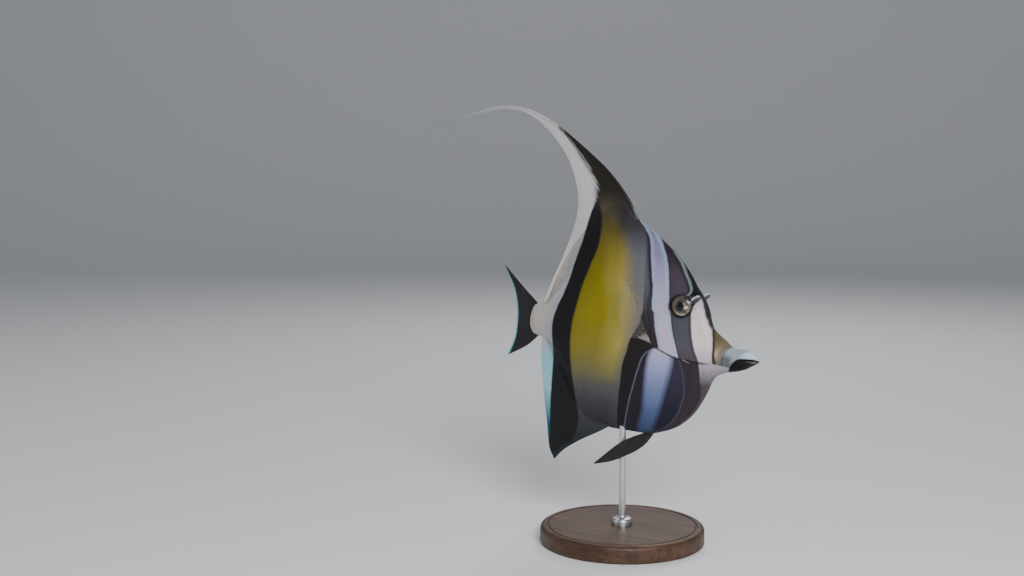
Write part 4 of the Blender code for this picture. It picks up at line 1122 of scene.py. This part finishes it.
class SkinGrid:
    """The left skin sampled on a fine grid of stations and angles, read between its points."""

    def __init__(self):
        self.backs = np.linspace(FIRST_ROW - 1.0, BODY_END, 580)
        self.angles = np.linspace(0.0, math.pi, 480)
        self.spots = skin_at(self.backs[:, None], np.cos(self.angles)[None])
        self.along = np.gradient(self.spots, self.backs, axis=0)
        self.down = np.gradient(self.spots, self.angles, axis=1)
        self.out = unit(np.cross(self.down, self.along))

    def read(self, field, back, angle):
        """A field's values between the grid's points."""
        i = np.clip((back - self.backs[0]) / (self.backs[1] - self.backs[0]), 0,
                    len(self.backs) - 1.001)
        j = np.clip(angle / self.angles[1], 0, len(self.angles) - 1.001)
        row, column = i.astype(int), j.astype(int)
        i, j = (i - row)[..., None], (j - column)[..., None]
        return ((field[row, column] * (1 - j) + field[row, column + 1] * j) * (1 - i)
                + (field[row + 1, column] * (1 - j) + field[row + 1, column + 1] * j) * i)


def unit(vectors):
    """Vectors made one long."""
    return vectors / np.maximum(np.linalg.norm(vectors, axis=-1), 1e-9)[..., None]


def dot(a, b):
    """Products of vectors, kept as a column."""
    return np.sum(a * b, axis=-1)[..., None]


def scale_roots(grid, first, last, side, rng):
    """Roots of one side's scales: back, angle, distance from mid flank, length and side."""
    length = smooth_function(SCALE_LENGTH)
    rows = []
    back = FIRST_ROW
    row = 0
    while back < BODY_END - 1.0:
        size = float(length(back))
        if first <= back < last:
            line = grid.read(grid.spots, np.full(len(grid.angles), back), grid.angles)
            steps = np.linalg.norm(np.diff(line, axis=0), axis=1)
            girth = np.concatenate(([0.0], np.cumsum(steps)))
            count = int(girth[-1] / (size * SCALE_WIDE * SCALE_CLOSE))
            for share, steep in SCALE_ROWS:
                run = (np.arange(count) + 0.25 + 0.5 * (row % 2) + share) / count * girth[-1]
                run = run + rng.normal(0, 0.07 * size, count)
                spot = back + share * size * SCALE_STEP + rng.normal(0, 0.06 * size, count)
                angle = np.interp(run, girth, grid.angles)
                stretch = np.linalg.norm(grid.read(grid.along, spot, angle), axis=-1)
                made = np.stack((spot, angle, girth[-1] / 2 - run, np.full(count, size),
                                 np.full(count, side)), -1)
                rows.append(made[(stretch > steep) & (run < girth[-1])])
        back += size * SCALE_STEP
        row += 1
    return np.concatenate(rows)


def make_scales(grid, name, first, last, finish, seed):
    """One piece of the coat: thin overlapping scales that follow the skin."""
    rng = np.random.default_rng(seed)
    roots = np.concatenate([scale_roots(grid, first, last, side, rng) for side in (-1.0, 1.0)])
    up = grid.read(grid.spots, roots[:, 0], roots[:, 1])[:, 1]
    middle = roots[:, 0] + 0.8 * roots[:, 3]
    keep = np.hypot(middle - EYE_CENTRE[0], up - EYE_CENTRE[1]) > EYE_RADIUS + 0.55
    keep &= np.hypot((middle + 1.0) / 10.8, (up + 1.8) / 5.6) > 1.0
    keep &= distance_to(PECTORAL_ROOT, middle, up)[0] > 0.7
    for hole_back, hole_up, size in NOSTRILS:
        keep &= np.hypot(middle - hole_back, up - hole_up) > size + 0.35
    back, angle, girth, size, side = roots[keep].T
    along_grid = grid.read(grid.along, back, angle)
    down_grid = grid.read(grid.down, back, angle)
    out = unit(grid.read(grid.out, back, angle))
    level = np.zeros_like(out)
    level[:, 0] = 1.0
    along = unit(0.6 * unit(along_grid) + 0.4 * unit(level - out * dot(level, out)))
    across = unit(np.cross(out, along))
    turn = rng.normal(0, 0.06, len(back))[:, None]
    along, across = (along * np.cos(turn) + across * np.sin(turn),
                     across * np.cos(turn) - along * np.sin(turn))
    web = np.abs(fin_web(back, np.cos(angle))) / FIN_WEB
    grow = (1 + rng.normal(0, 0.05, len(back))) * (1 - 0.3 * web)
    rise = SCALE_TIP_LIFT * (0.55 + 0.45 * size / 0.8) * (1 + rng.normal(0, 0.1, len(back)))
    rise = rise * (1 - 0.6 * web)
    aa, ad, dd = (dot(along_grid, along_grid)[:, 0], dot(along_grid, down_grid)[:, 0],
                  dot(down_grid, down_grid)[:, 0])
    whole = np.maximum(aa * dd - ad * ad, 1e-6)
    shape = [(*p, 0.0) for p in SCALE_RIM] + [(SCALE_MIDDLE, 0.0, 1.0), (SCALE_MIDDLE, 0.0, -1.0)]
    patch_u = 0.5 * (0.02 + 0.96 * back / UNWRAP_LENGTH) + np.where(side > 0, 0.5, 0.0)
    patch_v = 0.5 + 0.48 * girth / UNWRAP_HALF_GIRTH
    points = []
    uv = []
    for run, wide, face in shape:
        step = (along * (run * size * grow * SCALE_LAP)[:, None]
                + across * (wide * size * grow * SCALE_WIDE)[:, None])
        a, d = dot(step, along_grid)[:, 0], dot(step, down_grid)[:, 0]
        there = (back + (a * dd - d * ad) / whole, angle + (d * aa - a * ad) / whole)
        lift = SCALE_ROOT_LIFT + rise * run + SCALE_BODY * face
        spot = grid.read(grid.spots, *there) + unit(grid.read(grid.out, *there)) * lift[:, None]
        points.append(place(spot[:, 0], spot[:, 1], side * spot[:, 2]))
        uv.append(np.stack((patch_u + PATCH * (run - 0.5) * 0.9, patch_v + PATCH * wide * 0.9), -1))
    rim = len(SCALE_RIM)
    fans = [(k, (k + 1) % rim, rim) for k in range(rim)]
    fans = np.array(fans + [((k + 1) % rim, k, rim + 1) for k in range(rim)])
    base = (np.arange(len(back)) * (rim + 2))[:, None, None]
    faces = np.where((side > 0)[:, None, None], fans[None], fans[None, :, ::-1]) + base
    mesh = mesh_from(name, np.stack(points, 1), faces.reshape(-1, 3))
    layer = mesh.uv_layers.new(name="OFBake")
    index = np.empty(len(mesh.loops), dtype=np.int32)
    mesh.loops.foreach_get("vertex_index", index)
    uv = np.stack(uv, 1).reshape(-1, 2)
    layer.data.foreach_set("uv", uv[index].astype(np.float32).ravel())
    return add_piece(name, mesh, (), finish)


def pectoral_material():
    """Clear membrane with fine dark rays and a fleshy base painted pale as a highlight."""
    made, n, shader = new_material("clear_fin", Roughness=0.4, Coat_Weight=0.03,
                                   Specular_IOR_Level=0.15)
    uv = n.add("ShaderNodeUVMap", uv_map="rays")
    split = n.add("ShaderNodeSeparateXYZ")
    n.put(split.inputs[0], uv.outputs[0])
    phase = n.math('FRACT', split.outputs[0])
    ray = n.math('MULTIPLY_ADD', n.math('ABSOLUTE', n.math('SUBTRACT', phase, 0.5)), -6.0, 1.0,
                 clamp=True)
    where = n.add("ShaderNodeTexCoord").outputs["Object"]
    clear = n.mix(n.noise(where, 300.0), (0.4, 0.38, 0.32), (0.5, 0.47, 0.4))
    colour = n.mix(ray, clear, (0.1, 0.085, 0.04))
    # The leading ray is darker: a thicker ray, with painted shade along the fin's edge.
    colour = n.mix(n.past(0.8, split.outputs[0], 0.5), colour, (0.16, 0.14, 0.09))
    # Painted highlight: the fleshy base is pale where the light catches it.
    base = n.past(0.12, split.outputs[1], 0.12)
    colour = n.mix(base, colour, (0.4, 0.34, 0.33))
    n.put(shader.inputs["Base Color"], colour)
    far = n.span(split.outputs[1], 0.2, 0.8, 0.16, 0.44)
    solid = n.math('ADD', n.both(ray, far), 0.025)
    solid = n.math('ADD', solid, n.both(n.past(0.6, split.outputs[0], 0.5), 0.12))
    n.put(shader.inputs["Alpha"], n.math('MAXIMUM', solid, n.both(base, 0.6)))
    bump(n, shader, n.noise(where, 1500.0), 0.02)
    return made


def rayed_material(name, markings, shade, edge_colour, edge_width, dark=None):
    """A fin with the fish's markings or a dark colour, and a bright line at its margin."""
    made, n, shader = new_material(name, Coat_Weight=0.04, Coat_Roughness=0.3,
                                   Specular_IOR_Level=0.18)
    where = n.add("ShaderNodeTexCoord").outputs["Object"]
    uv = n.add("ShaderNodeUVMap", uv_map="rays")
    split = n.add("ShaderNodeSeparateXYZ")
    n.put(split.inputs[0], uv.outputs[0])
    phase = n.math('ABSOLUTE', n.math('SUBTRACT', n.math('FRACT', split.outputs[0]), 0.5))
    ray = n.math('MULTIPLY_ADD', phase, -4.0, 1.0, clamp=True)
    if dark is None:
        colour = n.add("ShaderNodeGroup", node_tree=markings).outputs["Color"]
    else:
        colour = n.mix(n.noise(where, 120.0, 4.0), dark, tuple(c * 1.6 for c in dark))
    # Rays are painted a little lighter than the membrane between them. The whole fin is also painted
    # about an eighth darker, as painted shade to match the shadows that fall between the body's
    # scales.
    colour = n.shade(colour, n.math('MULTIPLY_ADD', ray, shade, 0.88 - shade / 2))
    if edge_colour is not None:
        edge = n.past(split.outputs[1], 1 - edge_width, edge_width * 0.5)
        colour = n.mix(edge, colour, edge_colour)
    n.put(shader.inputs["Base Color"], colour)
    n.put(shader.inputs["Roughness"], n.span(n.noise(where, 400.0), 0.3, 0.7, 0.35, 0.5))
    joints = n.math('SINE', n.math('MULTIPLY', split.outputs[1], 260.0))
    height = n.math('MULTIPLY_ADD', n.math('MULTIPLY', joints, ray), 0.25, n.noise(where, 900.0))
    bump(n, shader, height, 0.05)
    return made


def horn_material():
    """Dark horn with a pale streak, a painted highlight, along its upper side."""
    made, n, shader = new_material("horn", Coat_Weight=0.25)
    where = n.add("ShaderNodeTexCoord").outputs["Object"]
    split = n.add("ShaderNodeSeparateXYZ")
    n.put(split.inputs[0], where)
    back = n.math('MULTIPLY_ADD', split.outputs[0], -1000.0, LIP_X)
    up = n.math('MULTIPLY_ADD', split.outputs[2], 1000.0, -LIP_Z)
    axis = n.span(back, HORN_TIP[0], HORN_ROOT[0], HORN_TIP[1], HORN_ROOT[1])
    # Painted highlight: the upper side is pale where the light falls on it.
    upper = n.past(up, n.math('ADD', axis, 0.5), 0.6)
    tone = n.mix(n.noise(where, 700.0), (0.02, 0.018, 0.024), (0.04, 0.038, 0.048))
    colour = n.mix(n.both(upper, 0.9), tone, (0.55, 0.65, 0.66))
    n.put(shader.inputs["Base Color"], colour)
    n.put(shader.inputs["Roughness"], n.span(n.noise(where, 500.0), 0.3, 0.7, 0.35, 0.55))
    bump(n, shader, n.noise(where, 2000.0), 0.04)
    return made


def wood_material():
    """Dark varnished wood with straight grain."""
    made, n, shader = new_material("dark_wood", Coat_Weight=0.12, Coat_Roughness=0.35,
                                   Specular_IOR_Level=0.3)
    where = n.add("ShaderNodeTexCoord").outputs["Object"]
    stretch = n.add("ShaderNodeMapping")
    stretch.inputs["Scale"].default_value = (5.0, 60.0, 60.0)
    n.put(stretch.inputs["Vector"], where)
    rings = n.noise(stretch.outputs[0], 3.0, 5.0, 0.6)
    stretch_fine = n.add("ShaderNodeMapping")
    stretch_fine.inputs["Scale"].default_value = (30.0, 700.0, 700.0)
    n.put(stretch_fine.inputs["Vector"], where)
    pores = n.noise(stretch_fine.outputs[0], 2.0, 3.0, 0.6)
    colour = n.ramp(rings, [(0.25, (0.028, 0.013, 0.008)), (0.5, (0.07, 0.033, 0.018)),
                            (0.75, (0.12, 0.06, 0.032))])
    colour = n.mix(n.math('MULTIPLY', n.past(0.42, pores, 0.1), 0.6), colour, (0.015, 0.008, 0.005))
    n.put(shader.inputs["Base Color"], colour)
    n.put(shader.inputs["Roughness"], n.span(pores, 0.3, 0.7, 0.6, 0.46))
    bump(n, shader, pores, 0.05)
    return made


def steel_material():
    """Brushed steel, brushed round the rod."""
    made, n, shader = new_material("brushed_steel", Metallic=1.0)
    where = n.add("ShaderNodeTexCoord").outputs["Object"]
    stretch = n.add("ShaderNodeMapping")
    stretch.inputs["Scale"].default_value = (200.0, 200.0, 6000.0)
    n.put(stretch.inputs["Vector"], where)
    brushed = n.noise(stretch.outputs[0], 1.0, 3.0)
    n.put(shader.inputs["Base Color"], n.mix(brushed, (0.5, 0.5, 0.52), (0.66, 0.66, 0.67)))
    n.put(shader.inputs["Roughness"], n.span(brushed, 0.3, 0.7, 0.24, 0.4))
    bump(n, shader, brushed, 0.02)
    return made


def turned(name, profile, replaced, finish, turns=144):
    """A solid of revolution about the rod's axis, from (radius, height) points."""
    p = np.array(profile)
    angle = np.linspace(0, 2 * math.pi, turns, endpoint=False)
    rings = np.stack((p[:, :1] * np.cos(angle), p[:, :1] * np.sin(angle),
                      np.repeat(p[:, 1:], turns, axis=1)), -1) * MM
    piece = add_piece(name, closed_tube(name, rings), replaced, finish)
    piece.data.set_sharp_from_angle(angle=math.radians(50))
    return piece


def make_stand(wood, steel):
    """The round base with its softened rim, and the rod with its collar."""
    rim = 2.5
    angle = np.linspace(0, math.pi / 2, 12)
    profile = [(BASE_RADIUS - 1.0, 0.0), (BASE_RADIUS - 0.3, 0.3), (BASE_RADIUS, 1.0)]
    profile += [(BASE_RADIUS - rim + rim * math.cos(a), BASE_THICKNESS - rim + rim * math.sin(a))
                for a in angle]
    profile += [(BASE_RADIUS - 4.0, BASE_THICKNESS), (BASE_RADIUS - 4.4, BASE_THICKNESS - 0.5),
                (BASE_RADIUS - 5.0, BASE_THICKNESS - 0.5), (BASE_RADIUS - 5.4, BASE_THICKNESS),
                (12.0, BASE_THICKNESS)]
    turned("stand_base_wood", profile, ("stand_base",), wood)
    top = BASE_THICKNESS + 0.1
    rod_top = LIP_Z + float(low_edge(LIP_X)) + 6.0
    ease_in = [(ROD_RADIUS + 1.6 * (1 - math.sin(a)), top + COLLAR_HEIGHT + 1.6 * (1 - math.cos(a)))
               for a in np.linspace(0, math.pi / 2, 8)]
    profile = [(COLLAR_RADIUS, top - 0.3), (COLLAR_RADIUS, top + COLLAR_HEIGHT - 1.2),
               (COLLAR_RADIUS - 0.35, top + COLLAR_HEIGHT - 0.35),
               (COLLAR_RADIUS - 1.2, top + COLLAR_HEIGHT)] + ease_in + [(ROD_RADIUS, rod_top)]
    turned("stand_rod_steel", profile, ("stand_rod",), steel, 64)


def make_stage():
    """A pale floor that curves up behind, soft lights and a pale sky."""
    half, depth, high, bend_radius = 3.0, 2.5, 2.5, 0.8
    angle = np.linspace(0, math.pi / 2, 16)
    line = [(-3.0, 0.0), (0.0, 0.0)]
    line += [(depth - bend_radius + bend_radius * math.sin(a),
              bend_radius - bend_radius * math.cos(a)) for a in angle]
    line += [(depth, high)]
    turn = math.radians(CAMERA_TURN)
    away = np.array((-math.sin(turn), math.cos(turn)))
    side = np.array((math.cos(turn), math.sin(turn)))
    points = []
    for across in (-half, half):
        for run, rise in line:
            spot = away * run + side * across
            points.append((spot[0], spot[1], rise))
    count = len(line)
    faces = [(i, i + 1, count + i + 1, count + i) for i in range(count - 1)]
    mesh = bpy.data.meshes.new("studio_floor")
    mesh.from_pydata(points, [], faces)
    mesh.shade_smooth()
    made, n, shader = new_material("pale_floor", Roughness=0.7)
    shader.inputs["Base Color"].default_value = (0.8, 0.81, 0.82, 1)
    mesh.materials.append(made)
    floor = bpy.data.objects.new("studio_floor", mesh)
    bpy.context.scene.collection.objects.link(floor)
    world = bpy.data.worlds.new("soft_sky")
    world.use_nodes = True
    world.node_tree.nodes["Background"].inputs[0].default_value = (0.9, 0.93, 1.0, 1)
    world.node_tree.nodes["Background"].inputs[1].default_value = 0.24
    bpy.context.scene.world = world
    centre = Vector((0.0, 0.0, 0.13))
    for name, spot, size, power in (("key", (0.6, -0.66, 0.56), 0.42, 11.6),
                                    ("fill", (-0.8, -0.7, 0.5), 0.8, 2.0),
                                    ("rim", (-0.3, 0.9, 0.9), 0.6, 5.0)):
        light = bpy.data.lights.new(name, 'AREA')
        light.size = size
        light.energy = power
        lamp = bpy.data.objects.new(name, light)
        lamp.location = spot
        lamp.rotation_euler = (centre - Vector(spot)).to_track_quat('-Z', 'Y').to_euler()
        bpy.context.scene.collection.objects.link(lamp)


def make_camera():
    """The photo's view: from the right side and a little in front, slightly above."""
    turn, rise = math.radians(CAMERA_TURN), math.radians(CAMERA_RISE)
    back = Vector((math.sin(turn) * math.cos(rise), -math.cos(turn) * math.cos(rise),
                   math.sin(rise)))
    data = bpy.data.cameras.new("camera")
    data.lens = CAMERA_LENS
    data.sensor_width = CAMERA_SENSOR
    camera = bpy.data.objects.new("camera", data)
    x, y, z = CAMERA_FROM_LIP
    camera.location = ((x + LIP_X) * MM, y * MM, (z + LIP_Z) * MM)
    camera.rotation_mode = 'QUATERNION'
    camera.rotation_quaternion = (-back).to_track_quat('-Z', 'Y')
    bpy.context.scene.collection.objects.link(camera)
    bpy.context.scene.camera = camera


def main():
    make_camera()
    make_stage()
    markings = pattern_group()
    make_skin(markings)
    coat = marked_material("scales", markings, (0.3, 0.46), 0.02, 2500.0)
    grid = SkinGrid()
    seams = (("face", 0.0), ("cheek", 34.0), ("shoulder", 50.0), ("breast", 66.0),
             ("flank", 80.0), ("loin", 94.0), ("rear", 112.0), (None, BODY_END))
    for seed in range(len(seams) - 1):
        make_scales(grid, "scales_" + seams[seed][0], seams[seed][1], seams[seed + 1][1], coat,
                    seed)
    fin = rayed_material("marked_fin", markings, 0.12, None, 0.0)
    make_dorsal(fin)
    make_anal(fin)
    make_caudal(rayed_material("tail_fin", markings, 0.3, (0.1, 0.42, 0.5), 0.07,
                               (0.014, 0.014, 0.015)))
    make_pelvics(rayed_material("pelvic_fin", markings, 0.3, None, 0.0, (0.02, 0.018, 0.018)))
    make_pectorals(pectoral_material())
    make_eyes(eye_material())
    make_horns(horn_material())
    make_stand(wood_material(), steel_material())


main()
